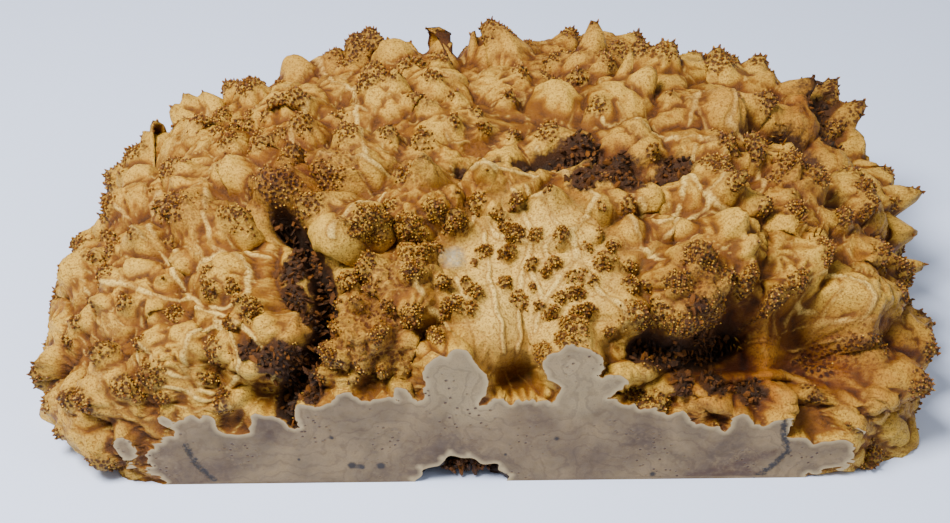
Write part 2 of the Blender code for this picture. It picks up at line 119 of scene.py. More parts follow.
# Round smooth heads: bearing, rise, radius, height, and the same for horns and buds
roundHeads = [
    (185, 26, 8, 5), (194, 24, 7, 4), (204, 39, 6, 5), (207, 45, 6, 4), (216, 48, 11, 6),
    (229, 38, 6, 4), (209, 12, 5, 5), (220, 33, 10, 4), (228, 32, 10, 4), (180, 37, 7, 5),
    (138, 46, 8, 5), (192, 59, 9, 7), (119, 60, 9, 6), (38, 80, 11, 6), (50, 70, 6, 5),
    (244, 80, 8, 3), (214, 74, 7, 4), (228, 58, 10, 10), (262, 54, 5, 3), (255, 36, 5, 5),
    (265, 36, 6, 4), (244, 38, 6, 5), (254, 26, 5, 4), (329, 54, 7, 8), (338, 48, 7, 5),
    (328, 10, 5, 5), (317, 15, 8, 7), (310, 20, 7, 5), (28, 63, 10, 5), (10, 60, 12, 8),
    (18, 42, 6, 5), (15, 24, 8, 9), (10, 21, 6, 6), (328, 65, 8, 6), (324, 59, 7, 5),
    (316, 60, 6, 4), (4, 73, 6, 4),
]
# Pointed horns
horns = [
    (200, 42, 7, 6), (213, 35, 4, 5), (216, 32, 4, 5), (202, 10, 5, 6), (218, 5, 6, 9),
    (172, 26, 7, 6), (176, 24, 6, 6), (164, 32, 7, 11), (159, 35, 6, 7), (156, 36, 5, 6),
    (154, 38, 5, 6), (111, 53, 3, 6), (102, 54, 7, 13), (90, 53, 4, 8), (49, 66, 6, 9),
    (239, 72, 6, 7), (276, 72, 5, 6), (302, 67, 6, 7), (275, 64, 4, 5), (282, 64, 4, 6),
    (327, 50, 5, 6), (358, 16, 7, 8), (352, 14, 5, 8), (345, 8, 3, 6), (32, 71, 3, 10),
    (26, 70, 6, 8), (22, 40, 6, 9), (3, 48, 5, 6), (350, 50, 4, 6), (313, 64, 5, 5),
    (339, 68, 5, 5), (338, 73, 5, 5), (325, 74, 4, 5),
]
# Buds: low heads that end in a bristle of spikelets
buds = [
    # left mass
    (189, 23, 5, 4), (220, 46, 4, 3), (225, 42, 7, 4), (203, 22, 6, 5), (202, 2, 4, 5),
    (206, 2, 7, 5), (212, 23, 4, 4), (224, 32, 4, 3), (221, 20, 4, 3), (222, 15, 4, 3),
    (168, 48, 9, 5), (149, 40, 9, 6), (146, 42, 6, 5), (184, 48, 10, 6), (200, 51, 11, 7),
    (208, 56, 9, 7), (194, 46, 7, 5), (208, 64, 10, 7), (166, 64, 8, 6), (170, 62, 6, 5),
    (162, 66, 6, 5), (185, 64, 8, 6), (194, 68, 9, 6), (178, 70, 7, 5), (200, 62, 6, 4),
    # skyline and crown
    (130, 48, 9, 8), (124, 50, 8, 8), (120, 51, 7, 8), (82, 54, 11, 11), (144, 78, 5, 5),
    (148, 82, 5, 5), (154, 85, 5, 5), (196, 88, 4, 5), (115, 84, 5, 4), (60, 83, 5, 5),
    (302, 88, 5, 5), (120, 78, 5, 3), (195, 80, 6, 4), (190, 76, 9, 5), (166, 73, 8, 4),
    # front middle
    (220, 63, 8, 7), (234, 61, 11, 7), (245, 61, 8, 6), (252, 64, 5, 5), (261, 62, 6, 6),
    (255, 56, 5, 4), (281, 62, 5, 6), (278, 56, 4, 4), (291, 59, 4, 4), (286, 53, 4, 4),
    (276, 48, 4, 3), (292, 53, 4, 4), (294, 50, 4, 4), (285, 44, 4, 4), (290, 46, 4, 4),
    (289, 40, 4, 4), (294, 42, 4, 4), (304, 53, 7, 5), (302, 56, 5, 4), (264, 44, 5, 5),
    (269, 46, 4, 5), (254, 43, 7, 5), (251, 50, 5, 5), (249, 54, 5, 4), (241, 52, 6, 5),
    (238, 49, 5, 5), (244, 48, 5, 4), (237, 45, 5, 4), (248, 38, 5, 5), (242, 44, 4, 4),
    (248, 44, 4, 4), (240, 40, 4, 4), (242, 34, 5, 5), (246, 33, 5, 5), (250, 32, 4, 5),
    (240, 29, 5, 5), (245, 29, 5, 5), (239, 36, 4, 4), (259, 38, 4, 4),
    # right side
    (302, 42, 8, 6), (318, 50, 8, 5), (313, 46, 7, 4), (316, 42, 9, 5), (321, 47, 6, 5),
    (310, 39, 7, 4), (324, 46, 6, 5), (336, 42, 9, 6), (325, 41, 6, 7), (322, 40, 5, 5),
    (344, 31, 8, 5), (332, 10, 9, 6), (326, 25, 6, 5), (322, 15, 6, 5), (324, 7, 4, 4),
    (32, 50, 12, 7), (32, 38, 6, 5), (14, 52, 8, 7), (22, 30, 7, 8), (19, 27, 6, 8),
    (352, 46, 9, 7), (354, 56, 7, 7), (338, 59, 6, 7), (339, 54, 6, 6), (8, 20, 6, 7),
    (4, 18, 6, 7), (354, 33, 6, 5), (346, 40, 6, 5), (347, 71, 5, 4),
    # the clusters between the veins
    (250, 64, 5, 6), (259, 62, 5, 5), (252, 55, 5, 4), (268, 54, 3, 3), (278, 65, 4, 6), (289, 67, 4, 6),
    (284, 60, 5, 5), (280, 56, 4, 4), (277, 49, 4, 4), (296, 58, 5, 4), (289, 52, 4, 4), (284, 48, 3, 3),
    (297, 50, 5, 5), (299, 49, 4, 4), (293, 47, 5, 4), (287, 43, 5, 5), (293, 43, 4, 4), (295, 43, 4, 4),
    (291, 39, 5, 5), (288, 38, 4, 4), (297, 38, 4, 4), (261, 44, 5, 4), (269, 46, 4, 4), (268, 43, 4, 4),
    (266, 49, 4, 4), (259, 49, 4, 3), (307, 59, 4, 4), (308, 56, 4, 4), (309, 52, 4, 4), (305, 47, 5, 4),
    (309, 47, 5, 4), (303, 42, 5, 4),
    # clusters on the shells of the left mass
    (224, 33, 6, 3), (218, 44, 5, 4), (223, 43, 5, 4), (216, 46, 4, 4), (209, 35, 5, 4), (212, 24, 6, 5),
    (216, 30, 5, 4), (205, 30, 5, 4), (211, 11, 5, 5), (202, 6, 5, 6), (207, 55, 5, 4), (198, 49, 5, 4),
]
# Hollows: bearing, rise, radius, depth
hollows = [
    (316, 30, 30, 28), (305, 29, 14, 12), (325, 27, 30, 30), (316, 20, 12, 10), (334, 20, 16, 10),
    (231, 14, 14, 9),
    (278, 29, 13, 14), (301, 22, 13, 9), (240, 26, 12, 5), (261, 82, 17, 3), (236, 33, 9, 7), (306, 20, 8, 5),
    (208, 36, 6, 3), (228, 25, 15, 7), (229, 33, 13, 6), (248, 30, 14, 7),
    (301, 27, 14, 8), (320, 12, 18, 13), (307, 14, 14, 5), (316, 16, 14, 16), (340, 75, 15, 4),
    (233, 22, 12, 17), (298, 24, 9, 12), (303, 20, 10, 11), (309, 13, 9, 9),
]
# Clefts: a route of bearings and rises, width, depth
clefts = [
    ([(213, 60), (220, 58), (227, 54), (232, 48), (236, 40), (237, 35), (237, 29), (236, 20), (238, 14)],
     4.8, 18),
    ([(303, 76), (328, 80), (334, 78), (328, 74), (330, 70), (341, 66)], 5.0, 9),
    ([(8, 47), (7, 40), (3, 38)], 4.6, 14),
    ([(303, 35), (308, 32), (313, 32), (318, 36)], 6.7, 15),
    ([(314, 18), (312, 7)], 1.7, 8),
    ([(254, 77), (272, 77), (288, 77)], 5.0, 7),
]
# Ledges that stand out of the hollow: route, width, height
ledges = [
    ([(292, 26), (298, 29), (307, 32)], 6.3, 9),
    ([(309, 22), (314, 24), (321, 23), (324, 17)], 3.8, 5),
    ([(324, 14), (329, 0), (332, -7)], 5.9, 5),
]
# Raised cream veins between the heads
veins = [
    # the fan that climbs out of the recess between the tongues
    [(278, 34), (280, 42), (281, 48), (285, 54), (288, 58), (289, 61), (289, 67), (287, 70)],
    [(296, 70), (297, 65), (298, 61), (299, 58), (300, 57), (299, 54), (299, 50), (299, 46), (301, 43),
     (300, 38)],
    [(298, 54), (292, 50), (288, 47), (285, 43), (283, 38)],
    [(286, 54), (285, 50), (286, 46)],
    [(286, 54), (290, 54), (292, 52)],
    [(274, 63), (276, 60), (279, 59), (284, 58), (287, 58)],
    [(264, 60), (266, 61), (269, 65), (268, 67)],
    [(248, 52), (252, 49), (255, 46), (258, 43), (262, 40), (264, 36)],
    [(262, 50), (265, 47), (265, 45)],
    [(261, 44), (263, 46), (266, 46), (268, 44)],
    [(298, 54), (301, 58), (300, 59)],
    [(292, 50), (291, 54), (291, 57), (294, 58)],
    [(272, 62), (272, 56), (273, 50), (274, 44), (275, 38), (275, 34)],
    [(315, 51), (314, 55), (315, 58), (316, 60), (322, 65)],
    [(315, 66), (311, 64), (304, 60), (300, 59)],
    [(329, 82), (323, 77), (314, 69), (315, 66)],
    [(345, 68), (340, 64), (334, 61), (334, 57), (336, 52)],
    [(243, 78), (274, 72), (289, 72), (306, 73)],
    [(230, 57), (228, 61), (227, 66), (228, 69)],
    # rims of the round heads on the left
    [(211, 46), (211, 50), (214, 52), (218, 53)],
    [(216, 30), (220, 26), (225, 24), (228, 24)],
    [(222, 34), (224, 28), (228, 24)],
    [(222, 38), (227, 38), (232, 32), (233, 26)],
    [(217, 40), (221, 40), (226, 38)],
]
# Crisp pale edges of the shells
rims = [
    [(220, 34), (221, 31), (222, 27), (224, 23), (226, 22), (228, 25), (229, 30), (227, 34), (224, 37),
     (221, 37), (220, 34)],
    [(216, 32), (215, 28), (217, 25), (219, 22), (222, 23), (225, 20), (229, 21)],
    [(207, 44), (207, 47), (208, 50), (212, 51), (218, 50), (221, 47), (224, 43), (222, 41), (219, 41),
     (216, 41), (209, 42), (207, 44)],
    [(187, 43), (190, 41), (201, 44), (202, 44), (207, 47)],
    [(195, 54), (204, 53), (209, 51)],
    [(184, 32), (194, 39), (202, 43), (207, 43)],
    [(199, 25), (204, 34), (208, 37), (211, 38), (215, 41)],
    [(12, 78), (0, 73), (359, 67), (354, 62), (4, 56), (9, 51), (11, 46)],
    [(5, 66), (13, 65), (23, 58), (12, 60), (7, 60), (5, 61), (4, 57)],
    [(353, 61), (345, 60), (338, 60), (335, 60), (332, 58), (329, 59), (319, 57), (314, 53)],
    [(353, 65), (346, 65), (334, 63), (329, 61), (321, 59), (322, 61), (324, 65)],
    [(354, 55), (348, 53), (339, 54), (336, 54)],
    [(134, 47), (135, 51), (146, 65), (144, 68), (154, 74), (168, 76), (204, 76), (214, 74)],
    [(198, 71), (205, 73), (214, 74), (227, 73), (242, 71), (256, 79), (281, 71)],
    [(209, 65), (195, 67), (178, 68), (163, 67), (156, 67)],
    [(329, 39), (332, 40), (336, 36), (336, 31), (334, 29), (333, 27), (332, 30), (331, 34), (329, 39)],
    [(314, 37), (321, 35), (327, 29), (331, 26), (333, 23)],
]
# Places left without extra heads: bearing, rise, radius
bareSpots = [
    (318, 25, 26), (331, 32, 17), (274, 30, 14), (258, 76, 17), (315, 76, 17), (8, 72, 18),
    (239, 77, 13), (232, 46, 7), (278, 40, 9), (310, 58, 10),
]
# Places where small knobs crowd together: bearing, rise, radius
lumpyPatches = [
    (245, 40, 17), (240, 34, 12), (252, 32, 12), (243, 50, 12), (251, 52, 11), (315, 44, 14),
    (200, 52, 12), (208, 62, 12), (206, 72, 14), (230, 74, 13), (352, 48, 12), (330, 24, 14),
]
# Old bark and weather stain, with painted shade under the bulb: bearing, rise, radius, strength
barkAndShadePatches = [
    (337, 78, 15, 1.0), (338, 73, 14, 1.0), (330, 70, 12, 1.0), (345, 67, 11, 0.9), (320, 71, 10, 0.8),
    (19, 36, 17, 1.0), (12, 33, 13, 1.0),       # the black bark at the upper right
    (307, 33, 9, 0.8), (307, 25, 9, 0.9), (311, 22, 10, 1.0), (315, 19, 9, 1.0), (314, 36, 10, 0.8),
    (233, 31, 10, 1.0), (229, 33, 7, 0.8), (240, 24, 7, 0.9), (226, 50, 8, 0.9), (229, 45, 8, 0.9),
    (236, 33, 9, 0.9), (233, 41, 8, 0.8), (239, 27, 9, 0.9), (224, 53, 7, 0.7), (212, 59, 6, 0.6),
    (313, 41, 8, 0.6),                          # painted shade under the bulb
]
# Parts made browner and darker: bearing, rise, radius, strength
brownParts = [
    (316, 28, 36, 1.3), (327, 22, 26, 1.0), (277, 32, 16, 0.6), (315, 45, 18, 0.7), (206, 66, 26, 0.9),
    (246, 42, 20, 0.55), (190, 40, 26, 0.3), (15, 40, 34, 0.9), (338, 74, 26, 0.7), (236, 38, 16, 0.8),
    (200, 50, 16, 0.5), (350, 30, 30, 0.5), (350, 50, 30, 0.5), (10, 60, 34, 0.5), (60, 60, 40, 0.5),
    (130, 50, 40, 0.5), (90, 40, 50, 0.5), (180, 70, 26, 0.4), (335, 12, 24, 0.8), (318, 60, 14, 0.4),
    (345, 8, 30, 0.5), (240, 76, 20, 0.25), (215, 12, 24, 0.25),
]


# Noise: a smooth random value between -1 and 1 for each point

def cornerValue(cx, cy, cz, seed):
    with np.errstate(over="ignore"):
        mixed = cx.astype(np.uint32) * np.uint32(374761393)
        mixed = mixed + cy.astype(np.uint32) * np.uint32(668265263)
        mixed = mixed + cz.astype(np.uint32) * np.uint32(2147483647)
        mixed = mixed + np.uint32(seed) * np.uint32(1274126177)
        mixed = (mixed ^ (mixed >> np.uint32(13))) * np.uint32(1274126177)
        mixed = (mixed ^ (mixed >> np.uint32(16))) * np.uint32(2654435761)
        mixed = mixed ^ (mixed >> np.uint32(15))
    return mixed.astype(np.float64) / 4294967295.0


def noise(points, size, seed):
    scaled = points / size + 100.0 + seed * 7.31
    cell = np.floor(scaled).astype(np.int64)
    part = scaled - cell
    part = part ** 3 * (part * (part * 6 - 15) + 10)
    total = 0.0
    for dx in (0, 1):
        for dy in (0, 1):
            for dz in (0, 1):
                weight = part[:, 0] if dx else 1 - part[:, 0]
                weight = weight * (part[:, 1] if dy else 1 - part[:, 1])
                weight = weight * (part[:, 2] if dz else 1 - part[:, 2])
                corner = cell + (dx, dy, dz)
                total = total + weight * cornerValue(corner[:, 0], corner[:, 1], corner[:, 2], seed)
    return total * 2 - 1


def layeredNoise(points, size, seed, layers=2):
    total = 0.0
    strength = 1.0
    whole = 0.0
    for layer in range(layers):
        total = total + strength * noise(points, size / 2 ** layer, seed + layer)
        whole += strength
        strength *= 0.5
    return total / whole


def wobble(points, size, seed, amount):
    return amount * np.stack([layeredNoise(points, size, seed + k) for k in range(3)], -1)


def cellNoise(points, size, seed):
    # distance to the nearest of random spots, and a value of that spot's own
    scaled = points / size + 100.0 + seed * 7.31
    home = np.floor(scaled).astype(np.int64)
    nearest = np.full(len(points), 9.0)
    own = np.zeros(len(points))
    for step in np.ndindex(3, 3, 3):
        cell = home + np.array(step) - 1
        spot = np.stack([cornerValue(cell[:, 0], cell[:, 1], cell[:, 2], seed + k) for k in range(3)], -1)
        away = length(cell + spot - scaled)
        own = np.where(away < nearest, spot[:, 0], own)
        nearest = np.minimum(nearest, away)
    return nearest, own


# The smooth mass under everything

def aroundCircle(values, bearing):
    values = np.array(values, float)
    count = len(values)
    spot = np.mod(bearing, 2 * np.pi) / (2 * np.pi) * count
    index = np.floor(spot).astype(int) % count
    part = spot - np.floor(spot)
    before = values[(index - 1) % count]
    here = values[index]
    after = values[(index + 1) % count]
    beyond = values[(index + 2) % count]
    slope = after - before
    bend = 2 * before - 5 * here + 4 * after - beyond
    twist = 3 * here - before - 3 * after + beyond
    return 0.5 * (2 * here + slope * part + bend * part ** 2 + twist * part ** 3)


def mass(bearing, rise, inset=0.0):
    s = burlShape
    toFront = np.clip(-np.sin(bearing), 0, 1)
    sidePower = 0.80 + 0.30 * toFront
    topPower = 0.86 + 0.16 * toFront
    reach = (aroundCircle(s["reach"], bearing) - inset) * np.abs(np.cos(rise)) ** sidePower
    lift = np.sign(np.sin(rise)) * np.abs(np.sin(rise)) ** topPower
    height = s["widest"] + (s["crown"] - s["widest"] - inset) * lift
    return np.stack([reach * np.cos(bearing), s["middleY"] + reach * np.sin(bearing), height], -1)


def place(bearing, rise):
    return mass(np.array([math.radians(bearing)]), np.array([math.radians(rise)]))[0]


def angles(directions):
    return np.arctan2(directions[:, 1], directions[:, 0]), np.arcsin(np.clip(directions[:, 2], -1, 1))


def massNormals(bearing, rise):
    step = 2e-3
    along = mass(bearing + step, rise) - mass(bearing - step, rise)
    above, below = (np.clip(rise + turn, -1.57, 1.57) for turn in (step, -step))
    up = mass(bearing, above) - mass(bearing, below)
    normal = np.cross(along, up)
    return normal / (np.linalg.norm(normal, axis=1)[:, None] + 1e-9)


def surfaceNormals(points, faces):
    normals = np.zeros_like(points)
    first, second, third = (points[faces[:, k]] for k in range(3))
    facing = np.cross(second - first, third - first)
    for k in range(3):
        np.add.at(normals, faces[:, k], facing)
    return normals / (np.linalg.norm(normals, axis=1)[:, None] + 1e-12)


def blendMax(low, high, soft):
    share = np.clip(0.5 + 0.5 * (low - high) / soft, 0, 1)
    return high + (low - high) * share + soft * share * (1 - share)


def length(vectors):
    return np.linalg.norm(vectors, axis=1)


def routeDistance(points, route):
    corners = np.array([place(*corner) for corner in route])
    for _ in range(2 if len(corners) > 2 else 0):  # round the bends
        early = 0.75 * corners[:-1] + 0.25 * corners[1:]
        late = 0.25 * corners[:-1] + 0.75 * corners[1:]
        corners = np.concatenate([corners[:1], np.stack([early, late], 1).reshape(-1, 3), corners[-1:]])
    nearest = np.full(len(points), 1e9)
    for start, end in zip(corners[:-1], corners[1:]):
        along = end - start
        share = np.clip(((points - start) @ along) / (along @ along), 0, 1)
        nearest = np.minimum(nearest, length(points - start - share[:, None] * along))
    return nearest


def patchField(points, rows, spread):
    # how strongly each point lies in any of the round patches: bearing, rise, radius, strength
    field = np.zeros(len(points))
    for bearing, rise, radius, strength in rows:
        away = length(points - place(bearing, rise)) / radius
        field = np.maximum(field, strength * np.clip(spread - away, 0, 1))
    return field


# Growths

def gatherLobes(rng):
    r = randomGrowths
    middle = burlShape["middleY"]
    found = []
    for bearing, rise, radius, height in lobes:
        centre = place(bearing, rise)
        outward = (centre - (0, middle, 20)) * (1, 1, 0.6)
        found.append((centre, radius, height, outward / np.linalg.norm(outward) * 0.35 * height))
    for bearing, rise, radius, height, lean in leaningLobes:
        found.append((place(bearing, rise), radius, height, np.array(lean, float)))
    tries = rng.normal(size=(r["lobeTries"], 3))
    tries /= length(tries)[:, None]
    for centre in mass(*angles(tries)):
        if centre[2] < -10 or centre[1] < burlShape["front"]:
            continue
        if min(length(np.array([lobe[0] for lobe in found]) - centre)) > r["lobeGap"]:
            radius = rng.uniform(*r["lobeRadius"])
            height = radius * rng.uniform(*r["lobeHeight"])
            outward = centre - (0, middle, 20)
            found.append((centre, radius, height, outward / np.linalg.norm(outward) * 0.35 * height))
    return found


def gatherHeads(rng):
    r = randomGrowths
    heads = []
    for rows, kind in ((roundHeads, "dome"), (horns, "cone"), (buds, "bud")):
        for bearing, rise, radius, height in rows:
            heads.append((place(bearing, rise), radius, height, kind))
    bare = [(place(bearing, rise), radius) for bearing, rise, radius in bareSpots]
    ownRng = np.random.default_rng(burlShape["seed"] + 2)
    tries = rng.normal(size=(r["headTries"], 3))
    tries /= length(tries)[:, None]
    for centre in mass(*angles(tries)):
        if centre[2] < -14 or centre[1] < burlShape["front"] - 16:
            continue
        if any(np.linalg.norm(centre - spot) < radius for spot, radius in bare):
            continue
        radius = rng.uniform(*r["headRadius"])
        gaps = length(np.array([head[0] for head in heads]) - centre)
        if np.all(gaps > r["headGap"] * (np.array([head[1] for head in heads]) + radius)):
            kind = "cone" if rng.integers(6) == 5 else "bud"
            height = 0.6 * radius * rng.uniform(*r["headHeight"])
            # some stay low and smooth, the others stand out more
            if ownRng.uniform() < r["lowShare"]:
                heads.append((centre, radius, 0.4 * height, "low"))
            else:
                heads.append((centre, radius * (0.7 if kind == "cone" else 1), 1.2 * height, kind))
    return heads


def addLobes(points, nearPoints, normals, rng, masks):
    heightField = np.zeros(len(points))
    leanField = np.zeros_like(points)
    nearest = np.full(len(points), 9.0)
    nextNearest = np.full(len(points), 9.0)
    ownHeight = np.zeros(len(points))
    for centre, radius, height, lean in gatherLobes(rng):
        away = length(nearPoints - centre) / radius
        swelling = burlShape["lobeGain"] * height * np.clip(1 - (away / 1.2) ** 2, 0, 1) ** 0.95
        heightField = blendMax(heightField, swelling, 3.0)
        leanField += np.clip(1 - away ** 2, 0, 1)[:, None] ** 2 * lean
        closer = away < nearest
        nextNearest = np.where(closer, nearest, np.minimum(nextNearest, away))
        ownHeight = np.where(closer, height, ownHeight)
        nearest = np.minimum(nearest, away)
    valley = 1 - np.clip((nextNearest - nearest) / 0.34, 0, 1) ** 0.7
    # the valleys between the lobes are sunk here and also given painted shade in the wood's colour
    masks["valley"] = valley
    heightField -= burlShape["valleyDepth"] * valley * np.clip(ownHeight / 6, 0.3, 1.4)
    return heightField[:, None] * normals + leanField


def addHollows(nearPoints):
    hollow = np.zeros(len(nearPoints))
    for bearing, rise, radius, depth in hollows:
        away = length(nearPoints - place(bearing, rise)) / radius
        hollow = np.maximum(hollow, depth * np.clip(1 - away ** 2, 0, 1))
    return hollow


def addRoutes(nearPoints):
    cleft = np.zeros(len(nearPoints))
    for route, width, depth in clefts:
        cleft = np.maximum(cleft, depth * np.exp(-(routeDistance(nearPoints, route) / width) ** 2))
    ledge = np.zeros(len(nearPoints))
    for route, width, height in ledges:
        away = routeDistance(nearPoints, route) / width
        ledge = np.maximum(ledge, height * np.clip(1 - away ** 2, 0, 1) ** 0.8)
    return cleft, ledge


def headProfile(kind, away, offPeak):
    if kind in ("dome", "low"):
        return 0.85 * np.clip(1 - (offPeak / 1.25) ** 2, 0, 1) ** 1.15
    if kind == "cone":
        return 1.25 * np.clip(1 - offPeak / 1.25, 0, 1) ** 1.4
    base = 0.30 * np.clip(1 - (away / 1.15) ** 2, 0, 1) ** 0.9
    return base + 1.2 * np.clip(1 - offPeak / 1.2, 0, 1) ** 1.8


def addHeads(points, nearPoints, rng, masks):
    s = burlShape
    heightField = np.zeros(len(points))
    leanField = np.zeros_like(points)
    nearest = np.full(len(points), 9.0)
    nextNearest = np.full(len(points), 9.0)
    ownHeight = np.zeros(len(points))
    tip = np.zeros(len(points))
    bristle = np.zeros(len(points))
    flutes = np.zeros(len(points))
    scales = np.zeros(len(points))
    ownRng = np.random.default_rng(s["seed"] + 1)
    for centre, radius, height, kind in gatherHeads(rng):
        ribs, phase = ownRng.integers(5, 10), ownRng.uniform(0, 6.28)
        radius = radius * (1 if kind in ("dome", "low") else s["headSpread"])
        close = np.flatnonzero(length(points - centre) < 2.2 * radius + 3)
        outward = centre - (0, s["middleY"], 30)
        outward /= np.linalg.norm(outward)
        across = rng.normal(size=3)
        across -= across @ outward * outward
        across /= np.linalg.norm(across)
        shift = across * rng.uniform(-0.25, 0.25) + outward * 0.22
        if not len(close):
            continue
        off = nearPoints[close] - centre
        off = off - (0.28 * (off @ across))[:, None] * across
        away = length(off) / radius
        offPeak = length(off - radius * shift) / radius
        profile = s["headGain"] * height * headProfile(kind, away, offPeak)
        heightField[close] = blendMax(heightField[close], profile, 0.9)
        leanField[close] += (0.35 * height * np.clip(1 - away ** 2, 0, 1) ** 2)[:, None] * outward
        turn = np.arctan2(off @ np.cross(outward, across), off @ across)
        rib = np.cos(turn * ribs + phase + 2.5 * away) * np.clip(1.1 - away, 0, 1) ** 0.6
        rib = rib * np.clip(away * 2, 0, 1)
        closer = away < nearest[close]
        flutes[close] = np.where(closer, radius * rib, flutes[close])
        upward = np.array((0, 0, 1.0)) - outward[2] * outward
        upward = upward / np.linalg.norm(upward) + 0.7 * across
        slant = np.clip((off @ upward) / radius, -1.1, 1.1) + ownRng.uniform(-0.6, 0.6)
        scales[close] = np.where(closer, min(radius, 8) * slant, scales[close])
        nextNearest[close] = np.where(closer, nearest[close], np.minimum(nextNearest[close], away))
        nearest[close] = np.minimum(nearest[close], away)
        ownHeight[close] = np.where(closer, height, ownHeight[close])
        if kind in ("bud", "cone"):
            tip[close] = np.maximum(tip[close], np.clip(1.3 - offPeak / 0.42, 0, 1))
        reach = {"bud": 1.75, "cone": 0.9, "dome": 0.6, "low": -1.0}[kind]
        bristle[close] = np.maximum(bristle[close], np.clip(reach - offPeak / 0.42, 0, 1))
    gap = nextNearest - nearest
    veined = np.exp(-(length(nearPoints - place(*s["veined"][:2])) / s["veined"][2]) ** 4)
    cell = np.clip(gap / 0.4, 0, 1) ** 0.6 * (nextNearest < 4)
    heightField += s["pillowGain"] * cell * ownHeight * (1 - 1.6 * veined)
    net = np.exp(-(gap / 0.10) ** 2) * np.clip((nearest - 0.6) / 0.4, 0, 1) * (nextNearest < 4)
    masks["crease"] = net * (1 - veined)
    net = net * 0.4 * (1 - 0.85 * veined)
    bent = nearPoints + wobble(points, *s["veinBend"])
    for routes, width, height in ((veins, s["veinWidth"], 1.0), (rims, s["rimWidth"], 0.9)):
        for route in routes:
            net = np.maximum(net, height * np.exp(-(routeDistance(bent, route) / width) ** 2))
    masks.update(vein=net, tip=tip, bristle=bristle, veined=veined)
    heightField += (s["fluteDepth"] * flutes + s["scaleTilt"] * scales) * (1 - 0.8 * veined)
    return heightField, leanField, net, tip


def cavity(points, faces):
    # how deep each point lies under its surroundings, broadly and closely
    pairs = np.concatenate([faces[:, (0, 1)], faces[:, (1, 2)], faces[:, (2, 0)]])
    count = np.bincount(pairs[:, 0], minlength=len(points)).astype(float)
    normals = surfaceNormals(points, faces)
    even = points.copy()
    results = []
    for rounds in (5, 45):  # smoothed a little, then a lot
        for _ in range(rounds):
            total = [np.bincount(pairs[:, 0], even[pairs[:, 1], k], len(points)) for k in range(3)]
            even = np.stack(total, -1) / count[:, None]
        results.append(((even - points) * normals).sum(1))
    return results[1], results[0]


def burlPoints(directions, faces, masks):
    s = burlShape
    rng = np.random.default_rng(s["seed"])
    bearing, rise = angles(directions)
    smooth = mass(bearing, rise)
    normals = massNormals(bearing, rise)
    inset = s["coreInset"] + s["frontInset"] * np.clip(-np.sin(bearing), 0, 1) ** 2
    loose = smooth + wobble(smooth, *s["looseBend"])
    points = mass(bearing, rise, inset) + addLobes(smooth, loose, normals, rng, masks)
    points += 1.2 * layeredNoise(smooth, 45, 21)[:, None] * normals
    hollow = addHollows(loose)
    cleft, ledge = addRoutes(loose)
    points += (ledge - hollow - cleft)[:, None] * normals
    masks["hollow"] = np.clip(hollow / 14, 0, 1)
    # the cleft depth also sets the painted shade in the clefts
    masks["cleft"] = np.clip(cleft / 9, 0, 1)

    outward = surfaceNormals(points, faces) * 0.6 + normals * 0.4
    outward /= length(outward)[:, None]
    tight = smooth + wobble(smooth, *s["tightBend"])
    height, lean, net, tip = addHeads(smooth, tight, rng, masks)
    calm = np.clip(1 - (cleft + hollow * 0.3) / 8, 0.2, 1)
    calm = calm * (1 - 0.45 * masks["veined"])
    points += (height * calm + s["veinHeight"] * net)[:, None] * outward + lean * calm[:, None]
    ridges = 1 - np.abs(layeredNoise(loose, 13.0, 161)) * 2.2
    folds = noise(tight + 2.5 * layeredNoise(smooth, 9.0, 171)[:, None], 6.5, 173)
    wrinkles = -np.clip(1 - np.abs(folds) / 0.16, 0, 1) + 0.5 * folds
    relief = s["ridgeHeight"] * ridges + s["wrinkleHeight"] * wrinkles
    points += relief[:, None] * outward * (1 - 0.7 * masks["veined"])[:, None]

    lumpy = patchField(loose, [(*patch, 1.0) for patch in lumpyPatches], 1.5)
    away, own = cellNoise(tight, s["lumpSize"], 141)
    lumps = lumpy * np.clip(1 - (away / 0.62) ** 2, 0, 1) ** 0.6 * (0.6 + own)
    points += (s["lumpHeight"] * lumps * calm)[:, None] * outward
    away, own = cellNoise(tight, s["miniSize"], 151)
    mini = np.clip(1 - away / 0.62, 0, 1) * (0.5 + own)
    clumps = 0.75 + 0.9 * layeredNoise(smooth, 6.0, 191)
    masks["bristle"] = np.clip(masks["bristle"] * clumps * 1.3, 0, 1)
    crowd = np.clip(np.maximum(1.3 * masks["bristle"], 0.5 * lumpy), 0, 1)
    masks["lumpy"] = lumpy
    masks["mini"] = np.clip(mini * crowd * 1.4, 0, 1)
    masks["crowd"] = crowd
    points += (s["miniHeight"] * mini * crowd)[:, None] * outward

    fine = s["fineHeight"] * layeredNoise(smooth, 3.0, 41)
    fine += 1.5 * tip * np.abs(noise(smooth, 1.7, 51))
    fine += 0.11 * cleft * layeredNoise(smooth, 3.0, 61)
    points += fine[:, None] * surfaceNormals(points, faces)
    points[:, 1] = np.maximum(points[:, 1], s["front"] - s["pastSaw"])
    points[:, 2] = np.maximum(points[:, 2], -s["pastSaw"])

    # broad and close depth of each point: they set the painted shade in the hollows and creases and the
    # painted highlights on the ridges
    masks["dip"], masks["crevice"] = cavity(points, faces)
    masks["brown"] = patchField(loose, brownParts, 1.3)
    masks["scar"] = patchField(tight, [(*s["scar"], 1.0)], 1.6)
    ragged = 0.5 + 0.5 * layeredNoise(smooth, 7.0, 81, 3)
    # old bark, and painted shade under the bulb
    masks["bark"] = np.clip(patchField(loose, barkAndShadePatches, 1.25) * 1.6 - ragged * 0.9, 0, 1)
    return points


# Meshes

def sphereMesh(name, level):
    ball = bmesh.new()
    bmesh.ops.create_icosphere(ball, subdivisions=level, radius=1.0)
    mesh = bpy.data.meshes.new(name)
    ball.to_mesh(mesh)
    ball.free()
    return mesh


